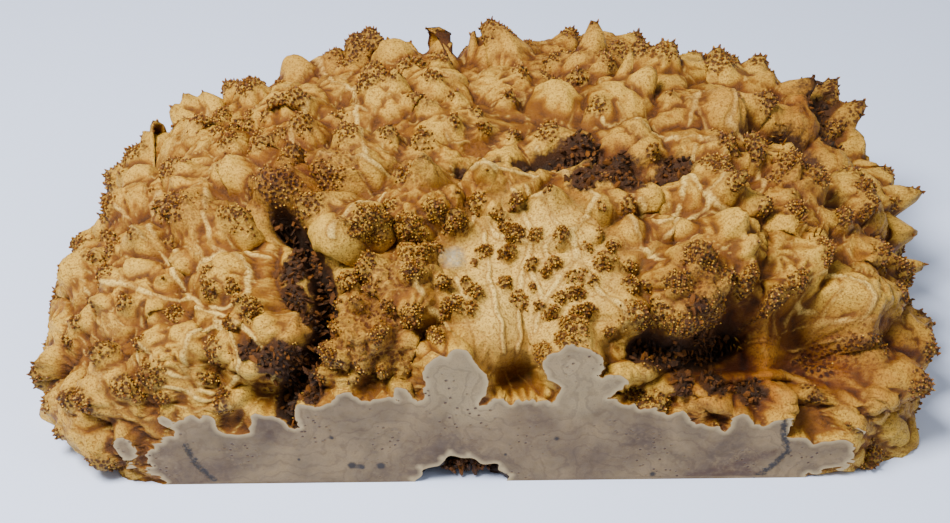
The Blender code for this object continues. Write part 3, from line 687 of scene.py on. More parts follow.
def readValues(items, name, width=1, kind=float):
    values = np.empty(len(items) * width, kind)
    items.foreach_get(name, values)
    return values.reshape(-1, width) if width > 1 else values


def meshArrays(mesh):
    directions = readValues(mesh.vertices, "co", 3)
    return directions / length(directions)[:, None], readValues(mesh.polygons, "vertices", 3, np.int32)


def evenBall(steps):
    # a ball of small even triangles: each of the twenty sides is divided into steps
    corners, sides = meshArrays(sphereMesh("sides", 1))
    rows = [(i, j) for i in range(steps + 1) for j in range(steps + 1 - i)]
    number = {spot: k for k, spot in enumerate(rows)}
    share = np.array([(steps - i - j, i, j) for i, j in rows]) / steps
    pattern = []
    for i, j in rows:
        if i + j < steps:
            pattern.append((number[i, j], number[i + 1, j], number[i, j + 1]))
        if i + j < steps - 1:
            pattern.append((number[i + 1, j], number[i + 1, j + 1], number[i, j + 1]))
    pattern = np.array(pattern)
    points = np.concatenate([share @ corners[side] for side in sides])
    points /= length(points)[:, None]
    faces = np.concatenate([pattern + k * len(rows) for k in range(len(sides))])
    _, first, joined = np.unique(np.round(points, 6) + 0.0, axis=0, return_index=True, return_inverse=True)
    return points[first], joined.ravel()[faces]


def gatherPoints(directions):
    # slide the points of the ball towards the side that is seen most
    aim = np.array(burlShape["aim"]) / np.linalg.norm(burlShape["aim"])
    across = np.cross(aim, (0, 0, 1))
    across /= np.linalg.norm(across)
    third = np.cross(aim, across)
    flat = np.stack([directions @ across, directions @ third], -1) / (1 + directions @ aim + 1e-9)[:, None]
    flat *= burlShape["gather"]
    square = (flat ** 2).sum(1)
    spread = 2 * flat[:, :1] * across + 2 * flat[:, 1:] * third + (1 - square)[:, None] * aim
    return spread / (1 + square)[:, None]


def makeMesh(name, points, faces):
    mesh = bpy.data.meshes.new(name)
    mesh.vertices.add(len(points))
    movePoints(mesh, points)
    mesh.loops.add(faces.size)
    mesh.loops.foreach_set("vertex_index", faces.astype(np.int32).ravel())
    mesh.polygons.add(len(faces))
    mesh.polygons.foreach_set("loop_start", np.arange(0, faces.size, faces.shape[1], dtype=np.int32))
    mesh.update(calc_edges=True)
    return mesh


def movePoints(mesh, points):
    mesh.vertices.foreach_set("co", (points * mm).astype(np.float32).ravel())
    mesh.update()


def addObject(name, mesh):
    thing = bpy.data.objects.new(name, mesh)
    bpy.context.scene.collection.objects.link(thing)
    return thing


def setMask(mesh, name, values):
    layer = mesh.attributes.new(name, "FLOAT", "POINT")
    layer.data.foreach_set("value", np.asarray(values, np.float32))


def cutWith(thing, cutter, operation):
    cut = thing.modifiers.new(operation.lower(), "BOOLEAN")
    cut.operation = operation
    cut.solver = "MANIFOLD"
    cut.object = cutter
    settled = bpy.data.meshes.new_from_object(thing.evaluated_get(bpy.context.evaluated_depsgraph_get()))
    thing.modifiers.clear()
    thing.data = settled
    bpy.data.objects.remove(cutter)


def sawRoom():
    room = burlShape["sawRoom"] * mm
    bpy.ops.mesh.primitive_cube_add(size=room, location=(0, burlShape["front"] * mm + room / 2, room / 2))
    return bpy.context.object


def pocketShape():
    mesh = sphereMesh("pocketTool", 5)
    directions, _ = meshArrays(mesh)
    ragged = 1 + 0.45 * layeredNoise(directions, 0.55, 71)
    movePoints(mesh, np.array(burlShape["pocketAt"]) + directions * ragged[:, None] * burlShape["pocketHalf"])
    return addObject("pocketTool", mesh)


sawnFace = {"frontStep": 1.7, "baseStep": 6.0}  # how finely the sawn faces are divided, mm


def flatFaces(work, axis, level):
    return [f for f in work.faces if all(abs(v.co[axis] - level) < 1e-6 for v in f.verts)]


def fillSawnFace(work, axis, level, step):
    # give one flat face inner points, so that its figure can follow the natural edge
    other = 2 if axis == 1 else 1
    flat = flatFaces(work, axis, level)
    inFlat = set(flat)
    # the rim is taken in the mesh's own order, so that each run gives the same faces
    edges = [(e.verts[0], e.verts[1]) for e in work.edges if len({f in inFlat for f in e.link_faces}) == 2]
    bmesh.ops.delete(work, geom=flat, context="FACES")
    corners = list(dict.fromkeys(v for pair in edges for v in pair))
    number = {v: k for k, v in enumerate(corners)}
    spots = [Vector((v.co[0], v.co[other])) for v in corners]
    tree = KDTree(len(spots))
    for k, spot in enumerate(spots):
        tree.insert((*spot, 0), k)
    tree.balance()
    lowest = [min(spot[k] for spot in spots) for k in (0, 1)]
    highest = [max(spot[k] for spot in spots) for k in (0, 1)]
    gap = step * mm
    inner = []
    for row in range(1, int((highest[1] - lowest[1]) / gap) + 1):
        for column in range(1, int((highest[0] - lowest[0]) / gap) + 1):
            spot = Vector((lowest[0] + (column + 0.5 * (row % 2)) * gap, lowest[1] + row * gap))
            if tree.find((*spot, 0))[2] > 0.45 * gap:
                inner.append(spot)
    links = [(number[a], number[b]) for a, b in edges]
    placed, sides, faces, origins, ofRim, _ = delaunay_2d_cdt(spots + inner, links, [], 0, 1e-9)
    # the rim parts wood from empty: walk in from the outside and change over at each rim side
    isRim = {tuple(sorted(side)): len(source) % 2 == 1 for side, source in zip(sides, ofRim)}
    beside = {}
    for k, face in enumerate(faces):
        for a, b in zip(face, face[1:] + face[:1]):
            beside.setdefault(tuple(sorted((a, b))), []).append(k)
    wood = {}
    for side, pair in beside.items():
        if len(pair) == 1:
            wood[pair[0]] = isRim[side]
    todo = list(wood)
    while todo:
        k = todo.pop()
        face = faces[k]
        for a, b in zip(face, face[1:] + face[:1]):
            side = tuple(sorted((a, b)))
            for nextFace in beside[side]:
                if nextFace not in wood:
                    wood[nextFace] = wood[k] != isRim[side]
                    todo.append(nextFace)
    faces = [face for k, face in enumerate(faces) if wood[k]]
    made = {}
    for face in faces:
        for k in face:
            if k not in made:
                source = origins[k][0] if origins[k] else len(spots)
                if source < len(spots):
                    made[k] = corners[source]
                else:
                    at = [placed[k][0], 0.0, 0.0]
                    at[axis] = level
                    at[other] = placed[k][1]
                    made[k] = work.verts.new(at)
    for face in faces:
        loop = [made[k] for k in face]
        f = work.faces.new(loop if axis == 1 else loop[::-1])
        f.material_index = 1
        f.smooth = False


def divideSawnFaces(mesh):
    work = bmesh.new()
    work.from_mesh(mesh)
    work.normal_update()
    fillSawnFace(work, 1, burlShape["front"] * mm, sawnFace["frontStep"])
    work.normal_update()
    fillSawnFace(work, 2, 0.0, sawnFace["baseStep"])
    # close the hairline gaps where two folds of the skin cross right at the saw
    for _ in range(3):
        gaps = [e for e in work.edges if e.is_boundary]
        closed = bmesh.ops.holes_fill(work, edges=gaps, sides=0)["faces"]
        bmesh.ops.triangulate(work, faces=closed)
    loose = sum(1 for e in work.edges if not e.is_manifold)
    print("sawn faces divided,", loose, "open edges,", len(work.faces), "triangles")
    work.to_mesh(mesh)
    work.free()


def makeBurl():
    directions, faces = evenBall(burlShape["steps"])
    directions = gatherPoints(directions)
    masks = {}
    points = burlPoints(directions, faces, masks)
    print("burl shape made", len(points), "points")
    mesh = makeMesh("burl", points, faces)
    for name, values in masks.items():
        setMask(mesh, name, values)
    masks["bearing"], masks["rise"] = angles(directions)
    thing = addObject("burl", mesh)
    cutWith(thing, sawRoom(), "INTERSECT")
    cutWith(thing, pocketShape(), "DIFFERENCE")
    print("burl sawn", len(thing.data.polygons), "faces")
    return thing, points, surfaceNormals(points, faces), masks


def markSawnFaces(thing):
    mesh = thing.data
    front = burlShape["front"] * mm
    centres = readValues(mesh.polygons, "center", 3)
    normals = readValues(mesh.polygons, "normal", 3)
    sawn = (np.abs(centres[:, 1] - front) < 2e-6) & (normals[:, 1] < -0.999)
    sawn |= (np.abs(centres[:, 2]) < 2e-6) & (normals[:, 2] < -0.999)
    mesh.polygons.foreach_set("material_index", sawn.astype(np.int32))
    mesh.polygons.foreach_set("use_smooth", ~sawn)


# Marks on the sawn front, in millimetres across and up
sawnMarks = {
    "eyes": [(-8, 38, 13), (70, 16, 10), (44, 64, 10), (-18, 51, 9), (137, 16, 11), (-136, 11, 9),
             (78, 6, 9), (-70, 30, 8), (20, 22, 8), (-40, 20, 9), (110, 10, 6), (-100, 18, 8)],
    "holes": [(-54, 10, 2.3), (-50, 9, 1.8), (-42, 9.6, 2.2), (158, 11, 2.4), (72, 3, 1.8), (-62, 26, 1.4),
              (31, 24, 1.6), (-76, 14, 1.2), (10, 15, 1.2)],
    "stains": [(-134, 4, 17), (-112, 3, 9), (-85, 31, 8), (66, 24, 9), (104, 8, 14), (-12, 6, 22)],
    "streaks": [[(86, 1), (104, 7), (122, 15)], [(96, 1), (112, 5)], [(104, 2), (118, 3)]],
    "pales": [(-12, 57, 18), (42, 60, 20), (-3, 44, 12), (36, 46, 12)],
    "cracks": [[(124, 38), (125, 24), (128, 16), (122, 7), (116, 0)], [(-122, 22), (-119, 12), (-112, 2)]],
}


def lineDistance(spots, route):
    nearest = np.full(len(spots), 1e3)
    for start, end in zip(np.array(route[:-1], float), np.array(route[1:], float)):
        along = end - start
        share = np.clip((spots - start) @ along / (along @ along), 0, 1)
        nearest = np.minimum(nearest, length(spots - start - share[:, None] * along))
    return nearest


def markSawnFront(thing):
    mesh = thing.data
    spots = readValues(mesh.vertices, "co", 3) / mm
    across = spots[:, (0, 2)]
    onFront = np.abs(spots[:, 1] - burlShape["front"]) < 0.01
    for name in ("eyes", "holes", "stains", "pales"):
        value = np.zeros(len(spots))
        for x, z, radius in sawnMarks[name]:
            value = np.maximum(value, np.clip(1.5 - length(across - (x, z)) / radius, 0, 1))
        setMask(mesh, name, value * onFront)
    for name in ("streaks", "cracks"):
        away = np.min([lineDistance(across, route) for route in sawnMarks[name]], 0)
        setMask(mesh, name, np.where(onFront, away, 99.0))


def darkenPocket(thing):
    spots = readValues(thing.data.vertices, "co", 3) / mm
    away = length((spots - burlShape["pocketAt"]) / burlShape["pocketHalf"])
    bark = thing.data.attributes["bark"].data
    bark.foreach_set("value", np.maximum(readValues(bark, "value"), away < 1.5))


def measureRim(thing):
    # how far each point of the sawn faces lies from the natural edge
    mesh = thing.data
    sawn = readValues(mesh.polygons, "material_index", 1, np.int32)
    touched = np.zeros((len(mesh.vertices), 2), bool)
    for polygon, flag in zip(mesh.polygons, sawn):
        touched[list(polygon.vertices), flag] = True
    rim = np.flatnonzero(touched[:, 0] & touched[:, 1])
    tree = KDTree(len(rim))
    for k in rim:
        tree.insert(mesh.vertices[k].co, int(k))
    tree.balance()
    distance = np.zeros(len(mesh.vertices))
    for k in np.flatnonzero(touched[:, 1] & ~touched[:, 0]):
        distance[k] = tree.find(mesh.vertices[k].co)[2] / mm
    setMask(mesh, "rim", distance)


# Spikelets: the bristle at the tip of each bud

spikelets = {
    "spacing": 1.12,        # mm between neighbours
    "length": (0.7, 1.6),
    "radius": (0.45, 0.80),
    "sides": 4,
    "rings": ((-0.4, 1.3), (0.2, 1.0), (0.66, 0.62)),  # share of the length, share of the radius
    "mostInPiece": 8200,
    "seed": 21,
}


def spreadSpots(points, weight, spacing, rng):
    # random spots on the surface, at least the spacing apart, likelier where the weight is high
    likely = np.flatnonzero(weight > rng.uniform(0.15, 1.0, len(points)))
    rng.shuffle(likely)
    taken = {}
    chosen = []
    for k in likely:
        x, y, z = points[k]
        home = (int(x // spacing), int(y // spacing), int(z // spacing))
        crowded = False
        for dx in (-1, 0, 1):
            for dy in (-1, 0, 1):
                for dz in (-1, 0, 1):
                    for other in taken.get((home[0] + dx, home[1] + dy, home[2] + dz), ()):
                        p, q, r = points[other]
                        if (p - x) ** 2 + (q - y) ** 2 + (r - z) ** 2 < spacing ** 2:
                            crowded = True
        if not crowded:
            taken.setdefault(home, []).append(k)
            chosen.append(k)
    return np.array(chosen)


def insideCuts(points, margin):
    return (points[:, 1] > burlShape["front"] + margin) & (points[:, 2] > margin)


def buildSpikes(name, bases, directions, lengths, radii, dark, rng):
    # many small tapered spikes in one mesh, each closed, with a tone and a height along it
    sides = spikelets["sides"]
    rings = spikelets["rings"]
    count = len(bases)
    across = np.cross(directions, rng.normal(size=(count, 3)))
    across /= length(across)[:, None]
    third = np.cross(directions, across)
    points = []
    along = []
    for share, width in rings:
        for k in range(sides):
            turn = 2 * math.pi * k / sides
            rough = rng.uniform(0.75, 1.2, count)
            ring = (math.cos(turn) * across + math.sin(turn) * third) * (radii * width * rough)[:, None]
            points.append(bases + directions * (lengths * share)[:, None] + ring)
            along.append(np.full(count, max(share, 0)))
    points.append(bases + directions * lengths[:, None])
    along.append(np.ones(count))
    perSpike = len(points)
    points = np.stack(points, 1).reshape(-1, 3)
    along = np.stack(along, 1).ravel()
    pattern = [tuple(reversed(range(sides)))]
    for ring in range(len(rings) - 1):
        for k in range(sides):
            a = ring * sides + k
            b = ring * sides + (k + 1) % sides
            pattern.append((a, b, b + sides, a + sides))
    last = (len(rings) - 1) * sides
    for k in range(sides):
        pattern.append((last + k, last + (k + 1) % sides, perSpike - 1))
    faces = []
    for k in range(count):
        faces.extend([tuple(c + k * perSpike for c in face) for face in pattern])
    mesh = bpy.data.meshes.new(name)
    mesh.from_pydata((points * mm).tolist(), [], faces)
    mesh.update()
    setMask(mesh, "along", along)
    setMask(mesh, "tone", np.repeat(rng.uniform(0, 1, count), perSpike))
    setMask(mesh, "dark", np.repeat(dark, perSpike))
    return addObject(name, mesh)


def makeSpikelets(points, normals, masks):
    s = spikelets
    rng = np.random.default_rng(s["seed"])
    weight = 1.3 * masks["bristle"] * (1 - 0.8 * masks["hollow"]) * (1 - 0.7 * masks["cleft"])
    weight = np.maximum(weight, 0.3 * masks["lumpy"] * (masks["mini"] > 0.3)) + 0.4 * masks["bark"]
    weight = weight * insideCuts(points, 1.5)
    chosen = spreadSpots(points, weight, s["spacing"], rng)
    outward = points[chosen] - (0, burlShape["middleY"], 10)
    outward /= length(outward)[:, None]
    directions = normals[chosen] * 0.6 + outward * 0.5 + (0, 0, 0.3)
    directions += rng.normal(size=(len(chosen), 3)) * 0.2
    directions /= length(directions)[:, None]
    lengths = rng.uniform(*s["length"], len(chosen)) * (0.7 + 0.45 * masks["tip"][chosen])
    radii = rng.uniform(*s["radius"], len(chosen))
    pieces = []
    order = np.argsort(points[chosen][:, 0])
    for k in range(0, len(order), s["mostInPiece"]):
        share = order[k:k + s["mostInPiece"]]
        pieces.append(buildSpikes("spikelets." + str(len(pieces) + 1), points[chosen][share],
                                  directions[share], lengths[share], radii[share],
                                  masks["bark"][chosen][share], rng))
    print("spikelets", len(chosen), "in", len(pieces), "pieces")
    return pieces


# Straw: tufts of torn fibres on the right shoulder. Places: bearing, rise, radius, strength

straw = {
    "places": [(1, 48, 6, 1), (10, 48, 6, 1), (339, 43, 5, 1), (339, 47, 5, 1), (354, 52, 4, 1),
               (320, 34, 4, 1)],
    "spacing": 1.4,
    "length": (2.5, 6.0),
    "radius": (0.28, 0.5),
    "share": 0.25,
    "seed": 41,
}


def makeStraw(points, normals, masks):
    s = straw
    rng = np.random.default_rng(s["seed"])
    weight = patchField(mass(masks["bearing"], masks["rise"]), s["places"], 1.5)
    weight = np.where(rng.uniform(0, 1, len(points)) < s["share"], weight, 0)
    chosen = spreadSpots(points, weight, s["spacing"], rng)
    count = len(chosen)
    directions = normals[chosen] * 0.8 + (0.1, -0.2, 0.7) + rng.normal(size=(count, 3)) * 0.22
    directions /= length(directions)[:, None]
    lengths = rng.uniform(*s["length"], count)
    radii = rng.uniform(*s["radius"], count)
    print("straw", count)
    return buildSpikes("straw", points[chosen], directions, lengths, radii, np.zeros(count), rng)


# Bark: crumbs and shards left in the clefts and dips

barkCrumbs = {
    "spacing": 1.9,
    "size": (0.6, 1.5),
    "stretch": ((1.2, 2.8), (0.5, 0.9), (0.6, 1.2)),
    "inPocket": 170,
    "pocketLow": (-13, 2.6, 1.6),   # where they lie in the pocket, from its middle
    "pocketHigh": (13, 7.0, 7.5),
    "seed": 33,
}


def makeBark(points, normals, masks):
    s = barkCrumbs
    rng = np.random.default_rng(s["seed"])
    weight = np.maximum(masks["bark"], np.clip(masks["cleft"] - 0.45, 0, 1)) * insideCuts(points, 2.5)
    chosen = spreadSpots(points, weight, s["spacing"], rng)
    ball = bmesh.new()
    bmesh.ops.create_icosphere(ball, subdivisions=1, radius=1.0)
    corners = np.array([v.co[:] for v in ball.verts])
    faces = [tuple(v.index for v in f.verts) for f in ball.faces]
    ball.free()
    allPoints = []
    allFaces = []
    # the rotted pocket in the sawn front is packed with bark as well
    middle = np.array(burlShape["pocketAt"])
    packed = middle + rng.uniform(s["pocketLow"], s["pocketHigh"], (s["inPocket"], 3))
    packed = packed[np.abs(packed[:, 0] - middle[0]) < 15 - 1.1 * packed[:, 2]]
    points = np.concatenate([points, packed])
    normals = np.concatenate([normals, np.tile((0.0, -0.2, 1.0), (len(packed), 1))])
    chosen = np.concatenate([chosen, np.arange(len(points) - len(packed), len(points))])
    count = len(chosen)
    for k, home in enumerate(chosen):
        size = rng.uniform(*s["size"])
        stretch = np.array([rng.uniform(*limits) for limits in s["stretch"]]) * size
        stand = normals[home] + rng.normal(size=3) * 0.45
        turn = np.linalg.qr(np.stack([stand, rng.normal(size=3), rng.normal(size=3)], 1))[0]
        if np.linalg.det(turn) < 0:
            turn[:, 0] *= -1
        crumb = (corners * rng.uniform(0.6, 1.25, (len(corners), 1)) * stretch) @ turn.T
        crumb = crumb + points[home] + normals[home] * size * 0.3
        crumb[:, 1] = np.maximum(crumb[:, 1], burlShape["front"] + 0.3)
        crumb[:, 2] = np.maximum(crumb[:, 2], 0.2)
        allPoints.append(crumb)
        allFaces.extend([tuple(c + k * len(corners) for c in face) for face in faces])
    mesh = bpy.data.meshes.new("barkCrumbs")
    mesh.from_pydata((np.concatenate(allPoints) * mm).tolist(), [], allFaces)
    mesh.update()
    setMask(mesh, "tone", np.repeat(rng.uniform(0, 1, count), len(corners)))
    print("bark crumbs", count)
    return addObject("barkCrumbs", mesh)


# Materials

woodColours = {
    "cream": (0.74, 0.445, 0.060),
    "pale": (0.86, 0.58, 0.14),
    "golden": (0.38, 0.158, 0.006),
    "amber": (0.17, 0.054, 0.002),
    "brown": (0.058, 0.019, 0.003),
    "sawnEdge": (0.44, 0.32, 0.15),
    "black": (0.016, 0.008, 0.003),
    "scar": (0.42, 0.35, 0.22),
    "brownerTint": (0.50, 0.30, 0.13),
    "sawnPale": (0.24, 0.155, 0.066),
    "sawnGrey": (0.130, 0.082, 0.034),
    "sawnBrown": (0.055, 0.024, 0.008),
}


class Nodes:  # short hand for wiring one material's nodes

    def __init__(self, name, roughness, specular=0.5):
        self.material = bpy.data.materials.new(name)
        self.material.use_nodes = True
        self.tree = self.material.node_tree
        self.shader = self.tree.nodes["Principled BSDF"]
        self.shader.inputs["Roughness"].default_value = roughness
        self.shader.inputs["Specular IOR Level"].default_value = specular
        self.spot = self.tree.nodes.new("ShaderNodeTexCoord").outputs["Object"]

    def new(self, kind, **settings):
        node = self.tree.nodes.new(kind)
        for key, value in settings.items():
            setattr(node, key, value)
        return node

    def put(self, value, socket):
        if hasattr(value, "is_output"):
            self.tree.links.new(value, socket)
        elif isinstance(value, tuple) and len(value) == 3 and socket.type == "RGBA":
            socket.default_value = (*value, 1)
        else:
            socket.default_value = value

    def mask(self, name):
        return self.new("ShaderNodeAttribute", attribute_name=name).outputs["Fac"]

    def ramp(self, value, low, high, to=(0.0, 1.0)):
        node = self.new("ShaderNodeMapRange")
        self.put(value, node.inputs["Value"])
        for key, number in (("From Min", low), ("From Max", high), ("To Min", to[0]), ("To Max", to[1])):
            node.inputs[key].default_value = number
        return node.outputs["Result"]

    def maths(self, operation, first, second=0.0):
        node = self.new("ShaderNodeMath", operation=operation)
        self.put(first, node.inputs[0])
        self.put(second, node.inputs[1])
        return node.outputs["Value"]

    def times(self, first, second):
        return self.maths("MULTIPLY", first, second)

    def mix(self, first, second, amount, blend="MIX"):
        node = self.new("ShaderNodeMix", data_type="RGBA", blend_type=blend)
        self.put(amount, node.inputs[0])
        self.put(first, node.inputs[6])
        self.put(second, node.inputs[7])
        return node.outputs[2]

    # Further colours over the first, each where its mask rises from low to high, up to an amount.
    # A row with no low and high uses its value as it is.
    def coats(self, colour, *rows):
        for paint, mask, *limits in rows:
            where = self.mask(mask) if isinstance(mask, str) else mask
            if limits:
                low, high, amount = limits
                where = self.ramp(where, low, high, (0.0, amount))
            colour = self.mix(colour, woodColours[paint], where)
        return colour

    def stretched(self, scale, turn=(0.0, 0.0, 0.0)):
        node = self.new("ShaderNodeMapping")
        self.put(self.spot, node.inputs["Vector"])
        node.inputs["Scale"].default_value = scale
        node.inputs["Rotation"].default_value = turn
        return node.outputs["Vector"]

    def noise(self, size, detail=4.0, rough=0.55, warp=0.0, spot=None):
        node = self.new("ShaderNodeTexNoise")
        self.put(spot or self.spot, node.inputs["Vector"])
        node.inputs["Scale"].default_value = 1 / (size * mm)
        node.inputs["Detail"].default_value = detail
        node.inputs["Roughness"].default_value = rough
        node.inputs["Distortion"].default_value = warp
        return node.outputs["Fac"]

    def cells(self, size):
        node = self.new("ShaderNodeTexVoronoi")
        self.put(self.spot, node.inputs["Vector"])
        node.inputs["Scale"].default_value = 1 / (size * mm)
        return node.outputs["Distance"]

    def bump(self, height, depth, strength=1.0, under=None):
        node = self.new("ShaderNodeBump")
        node.inputs["Strength"].default_value = strength
        node.inputs["Distance"].default_value = depth * mm
        self.put(height, node.inputs["Height"])
        if under:
            self.put(under, node.inputs["Normal"])
        return node.outputs["Normal"]

    def finish(self, colour, normal, grain, low, high):
        roughness = self.ramp(self.noise(grain, 3.0), 0.3, 0.7, (low, high))
        for name, value in (("Base Color", colour), ("Normal", normal), ("Roughness", roughness)):
            self.put(value, self.shader.inputs[name])
        return self.material


def burlWood():
    n = Nodes("burlWood", 0.5, 0.25)
    colour = n.mix(woodColours["golden"], woodColours["cream"],
                   n.ramp(n.noise(34, 4.0, 0.6, 0.6), 0.38, 0.66, (0.0, 0.5)))
    # painted highlights: cream on the ridges and bulges; painted shade: amber in the valleys and dips, brown
    # in the creases and deepest dips; the veins and the veined part have their own cream and pale
    # painted shade in the broad dips, weaker in the veined part
    shadeInDips = n.times(n.ramp(n.mask("dip"), -0.5, 1.4, (0.0, 0.9)),
                    n.ramp(n.mask("veined"), 0.2, 0.9, (1.0, 0.45)))
    colour = n.coats(
        colour,
        ("amber", n.noise(14, 5.0, 0.65, 0.6), 0.42, 0.75, 0.6),
        ("amber", "valley", 0.35, 1.0, 0.6),
        ("cream", "dip", -0.3, -2.4, 0.65),
        ("cream", "crevice", -0.04, -0.30, 0.5),
        ("amber", shadeInDips),
        ("amber", "crevice", 0.05, 0.45, 0.8),
        ("brown", "crevice", 0.30, 0.95, 0.85),
        ("brown", "dip", 1.5, 4.2, 0.7),
        ("cream", "crease", 0.30, 0.9, 0.5),
        ("cream", "veined", 0.1, 0.8, 0.75),
        ("pale", "veined", 0.3, 0.95, 0.5),
        ("amber", "vein", 0.01, 0.12, 0.5),
        ("pale", "vein", 0.20, 0.7, 0.95),
    )
    # painted shade in small pits where the spikelets crowd, pale lips around them, and dark tips
    crowd = n.ramp(n.mask("crowd"), 0.20, 0.75)
    cell = n.cells(1.9)
    pit = n.times(n.ramp(cell, 0.46, 0.24), crowd)
    knobs = n.times(n.ramp(n.mask("mini"), 0.30, 0.75), n.ramp(n.noise(4.0, 2.0), 0.35, 0.55))
    tips = n.times(n.mask("tip"), n.ramp(n.noise(2.2, 3.0), 0.42, 0.60))
    # fine stipple and fibre lines
    fibre = n.noise(1.1, 5.0, 0.7, 2.0, n.stretched((0.35, 1.0, 1.0), (0.4, 0.3, 0.5)))
    colour = n.coats(
        colour,
        ("amber", "crowd", 0.0, 0.6, 0.6),
        ("brown", "bristle", 0.25, 0.9, 0.75),
        ("cream", n.times(n.ramp(cell, 0.44, 0.62, (0.0, 0.6)), crowd)),
        ("brown", n.times(pit, 0.95)),
        ("brown", n.times(knobs, 0.7)),
        ("brown", n.times(tips, 0.7)),
        ("amber", n.noise(0.9, 2.0, 0.6), 0.48, 0.66, 0.7),
        ("amber", fibre, 0.52, 0.75, 0.5),
        ("brown", n.noise(1.6, 4.0, 0.7, 1.0), 0.64, 0.76, 0.5),
    )
    # browner patches, the chalky scar, old bark with painted shade under the bulb, and painted shade in the
    # clefts
    brownerTint = n.times(n.mask("brown"), n.ramp(n.noise(7, 4.0, 0.6), 0.3, 0.6, (0.6, 1.1)))
    colour = n.mix(colour, woodColours["brownerTint"], n.ramp(brownerTint, 0.0, 1.0), "MULTIPLY")
    chalk = n.times(n.mask("scar"), n.ramp(n.noise(1.8, 4.0, 0.7), 0.35, 0.60, (0.3, 1.0)))
    barkAndShadeEdge = n.maths("ADD", n.mask("bark"), n.ramp(n.noise(3.0, 4.0, 0.7), 0.3, 0.7, (-0.25, 0.25)))
    # painted shade in the clefts: brown, and black the deeper the cleft
    dark = n.maths("ADD", n.mask("cleft"), n.ramp(n.noise(2.5, 4.0, 0.7), 0.3, 0.7, (-0.2, 0.2)))
    colour = n.coats(
        colour,
        ("scar", chalk),
        ("brown", barkAndShadeEdge, 0.10, 0.45, 1.0),
        ("black", barkAndShadeEdge, 0.50, 0.95, 0.7),
        ("brown", dark, 0.12, 0.45, 1.0),
        ("black", dark, 0.5, 0.95, 0.8),
    )
    coarse = n.bump(n.noise(3.2, 4.0, 0.6, 0.8), 0.9, 0.6)
    lines = n.bump(fibre, 0.9, 0.7, n.bump(pit, -0.7, 0.9, coarse))
    return n.finish(colour, n.bump(n.noise(0.7, 3.0, 0.7), 0.6, 0.9, lines), 1.4, 0.42, 0.66)


def sawnWood():
    n = Nodes("sawnWood", 0.62)
    colour = n.mix(woodColours["sawnGrey"], woodColours["sawnPale"],
                   n.ramp(n.noise(30, 4.0, 0.6, 1.2), 0.36, 0.62))
    # growth lines keep the shape of the natural edge
    drift = n.ramp(n.noise(17, 4.0, 0.6), 0.0, 1.0, (0.0, 26.0))
    rings = n.maths("ADD", n.times(n.mask("rim"), 0.95), drift)
    stain = n.times(n.mask("stains"), n.ramp(n.noise(5, 4.0, 0.6, 0.8), 0.3, 0.65, (0.2, 1.0)))
    # pin knots in clusters, each in a pale ring
    where = n.maths("MAXIMUM", n.ramp(n.mask("eyes"), 0.2, 0.8),
                    n.ramp(n.noise(15, 2.0), 0.60, 0.68, (0.0, 0.8)))
    knot = n.cells(2.7)
    eyes = n.times(n.ramp(knot, 0.15, 0.26, (1.0, 0.0)), where)
    halo = n.times(n.ramp(knot, 0.22, 0.42, (0.45, 0.0)), where)
    rough = n.ramp(n.noise(2.2, 4.0, 0.7), 0.2, 0.8, (-1.6, 1.6))
    streak = n.ramp(n.maths("ADD", n.mask("streaks"), rough), 0.2, 2.4, (0.8, 0.0))
    split = n.ramp(n.maths("ADD", n.mask("cracks"), rough), 0.5, 1.7, (1.0, 0.0))
    colour = n.coats(
        colour,
        ("sawnEdge", "pales", 0.2, 1.0, 0.45),
        ("sawnBrown", n.maths("SINE", rings), 0.5, 1.0, 0.28),
        ("sawnBrown", n.maths("SINE", n.times(rings, 3.1)), 0.3, 1.0, 0.10),
        ("sawnBrown", n.noise(0.6, 2.0, 0.7), 0.58, 0.74, 0.45),
        ("sawnBrown", n.noise(42, 4.0, 0.6), 0.54, 0.70, 0.45),
        ("sawnBrown", n.times(stain, 0.9)),
        ("sawnEdge", n.ramp(n.mask("rim"), 0.3, 2.4, (0.85, 0.0))),
        ("sawnPale", halo),
        ("brown", n.times(eyes, 0.9)),
        ("brown", streak),
        ("black", split),
        ("black", "holes", 0.45, 0.8, 1.0),
    )
    saw = n.bump(n.noise(1.2, 2.0, 0.5, 0.0, n.stretched((0.05, 1.0, 1.0))), 0.12, 0.5)
    return n.finish(colour, n.bump(n.maths("ADD", eyes, split), -0.6, 0.9, saw), 3.0, 0.52, 0.7)


def spikeletWood():
    n = Nodes("spikeletWood", 0.55, 0.25)
    # painted shade: each spikelet is dark brown at its base and lighter towards its tip
    colour = n.mix(woodColours["brown"], woodColours["amber"], n.ramp(n.mask("along"), 0.05, 0.5))
    colour = n.coats(
        colour,
        ("golden", "along", 0.35, 0.85, 0.7),
        ("cream", n.times(n.ramp(n.mask("along"), 0.45, 0.95), n.ramp(n.mask("tone"), 0.50, 0.80))),
        ("brown", n.times(n.ramp(n.mask("along"), 0.30, 0.80), n.ramp(n.mask("tone"), 0.45, 0.20))),
        ("amber", n.noise(5, 3.0), 0.45, 0.7, 0.7),
        ("brown", "dark", 0.1, 0.6, 0.9),
    )
    return n.finish(colour, n.bump(n.noise(0.6, 3.0, 0.7), 0.3, 0.7), 1.2, 0.45, 0.7)


def oldBark():
    n = Nodes("oldBark", 0.75, 0.25)
    colour = n.mix(woodColours["black"], woodColours["brown"], n.ramp(n.mask("tone"), 0.0, 0.5))
    colour = n.coats(
        colour,
        ("amber", "tone", 0.55, 1.0, 0.8),
        ("amber", n.noise(2.2, 4.0, 0.6), 0.50, 0.70, 0.6),
    )
    return n.finish(colour, n.bump(n.noise(0.8, 4.0, 0.7), 0.6, 0.9), 1.0, 0.6, 0.9)


# Floor, light and camera

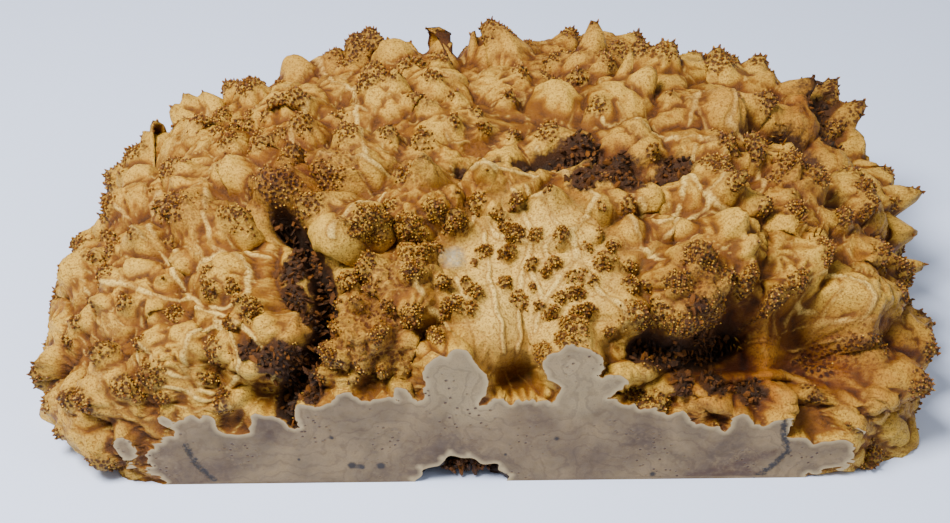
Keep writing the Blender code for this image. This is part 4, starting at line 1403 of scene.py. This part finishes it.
studio = {
    "floorSize": 8,
    "floorColour": (0.64, 0.73, 0.95),
    "skyColour": (0.88, 0.93, 1.0),
    "skyStrength": 0.36,
    # place, size, power and colour of each soft light
    "topLight": ((-0.45, -0.30, 1.05), 0.45, 33.0, (1.0, 0.98, 0.96)),
    "sideLight": ((0.85, -0.45, 0.95), 0.8, 4.5, (0.96, 0.98, 1.0)),
    "lightAim": (0, 0, 0.05),
    "sensor": 36,
    "lens": 62.0,
    "elevation": 37.0,
    "azimuth": -0.9,
    "distance": 0.760,
    "lookAt": (-0.001, 0.0, 0.0315),
}


def makeFloor():
    bpy.ops.mesh.primitive_plane_add(size=studio["floorSize"])
    floor = bpy.context.object
    floor.name = "floor"
    n = Nodes("paleFloor", 0.7)
    n.put(studio["floorColour"], n.shader.inputs["Base Color"])
    floor.data.materials.append(n.material)


def addSoftLight(name):
    spot, size, power, colour = studio[name]
    lamp = bpy.data.lights.new(name, "AREA")
    lamp.size = size
    lamp.energy = power
    lamp.color = colour
    holder = bpy.data.objects.new(name, lamp)
    holder.location = spot
    aim = Vector(studio["lightAim"]) - Vector(spot)
    holder.rotation_euler = aim.to_track_quat("-Z", "Y").to_euler()
    bpy.context.scene.collection.objects.link(holder)


def lightStudio():
    world = bpy.data.worlds.new("paleRoom")
    bpy.context.scene.world = world
    world.use_nodes = True
    background = world.node_tree.nodes["Background"]
    background.inputs["Color"].default_value = (*studio["skyColour"], 1)
    background.inputs["Strength"].default_value = studio["skyStrength"]
    addSoftLight("topLight")
    addSoftLight("sideLight")


def placeCamera():
    s = studio
    rise, turn = math.radians(s["elevation"]), math.radians(s["azimuth"])
    back = Vector((math.sin(turn) * math.cos(rise), -math.cos(turn) * math.cos(rise), math.sin(rise)))
    lens = bpy.data.cameras.new("camera")
    lens.lens = s["lens"]
    lens.sensor_width = s["sensor"]
    camera = bpy.data.objects.new("camera", lens)
    right = Vector((0, 0, 1)).cross(back).normalized()
    up = back.cross(right)
    turned = Matrix((right, up, back)).transposed().to_4x4()
    camera.matrix_world = Matrix.Translation(Vector(s["lookAt"]) + back * s["distance"]) @ turned
    bpy.context.scene.collection.objects.link(camera)
    bpy.context.scene.camera = camera


def dress(thing, *materials):
    thing.data.materials.clear()
    for material in materials:
        thing.data.materials.append(material)
    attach(thing, "root")


placeCamera()
burl, *skin = makeBurl()  # the skin: points, normals and masks before the saw
divideSawnFaces(burl.data)
dress(burl, burlWood(), sawnWood())
markSawnFaces(burl)
measureRim(burl)
markSawnFront(burl)
darkenPocket(burl)
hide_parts("burl_cap")
print("burl dressed")
spikeletPaint = spikeletWood()
for bristlePiece in makeSpikelets(*skin):
    dress(bristlePiece, spikeletPaint)
dress(makeStraw(*skin), spikeletPaint)
dress(makeBark(*skin), oldBark())
print("bark dressed")
makeFloor()
lightStudio()
print("studio lit")
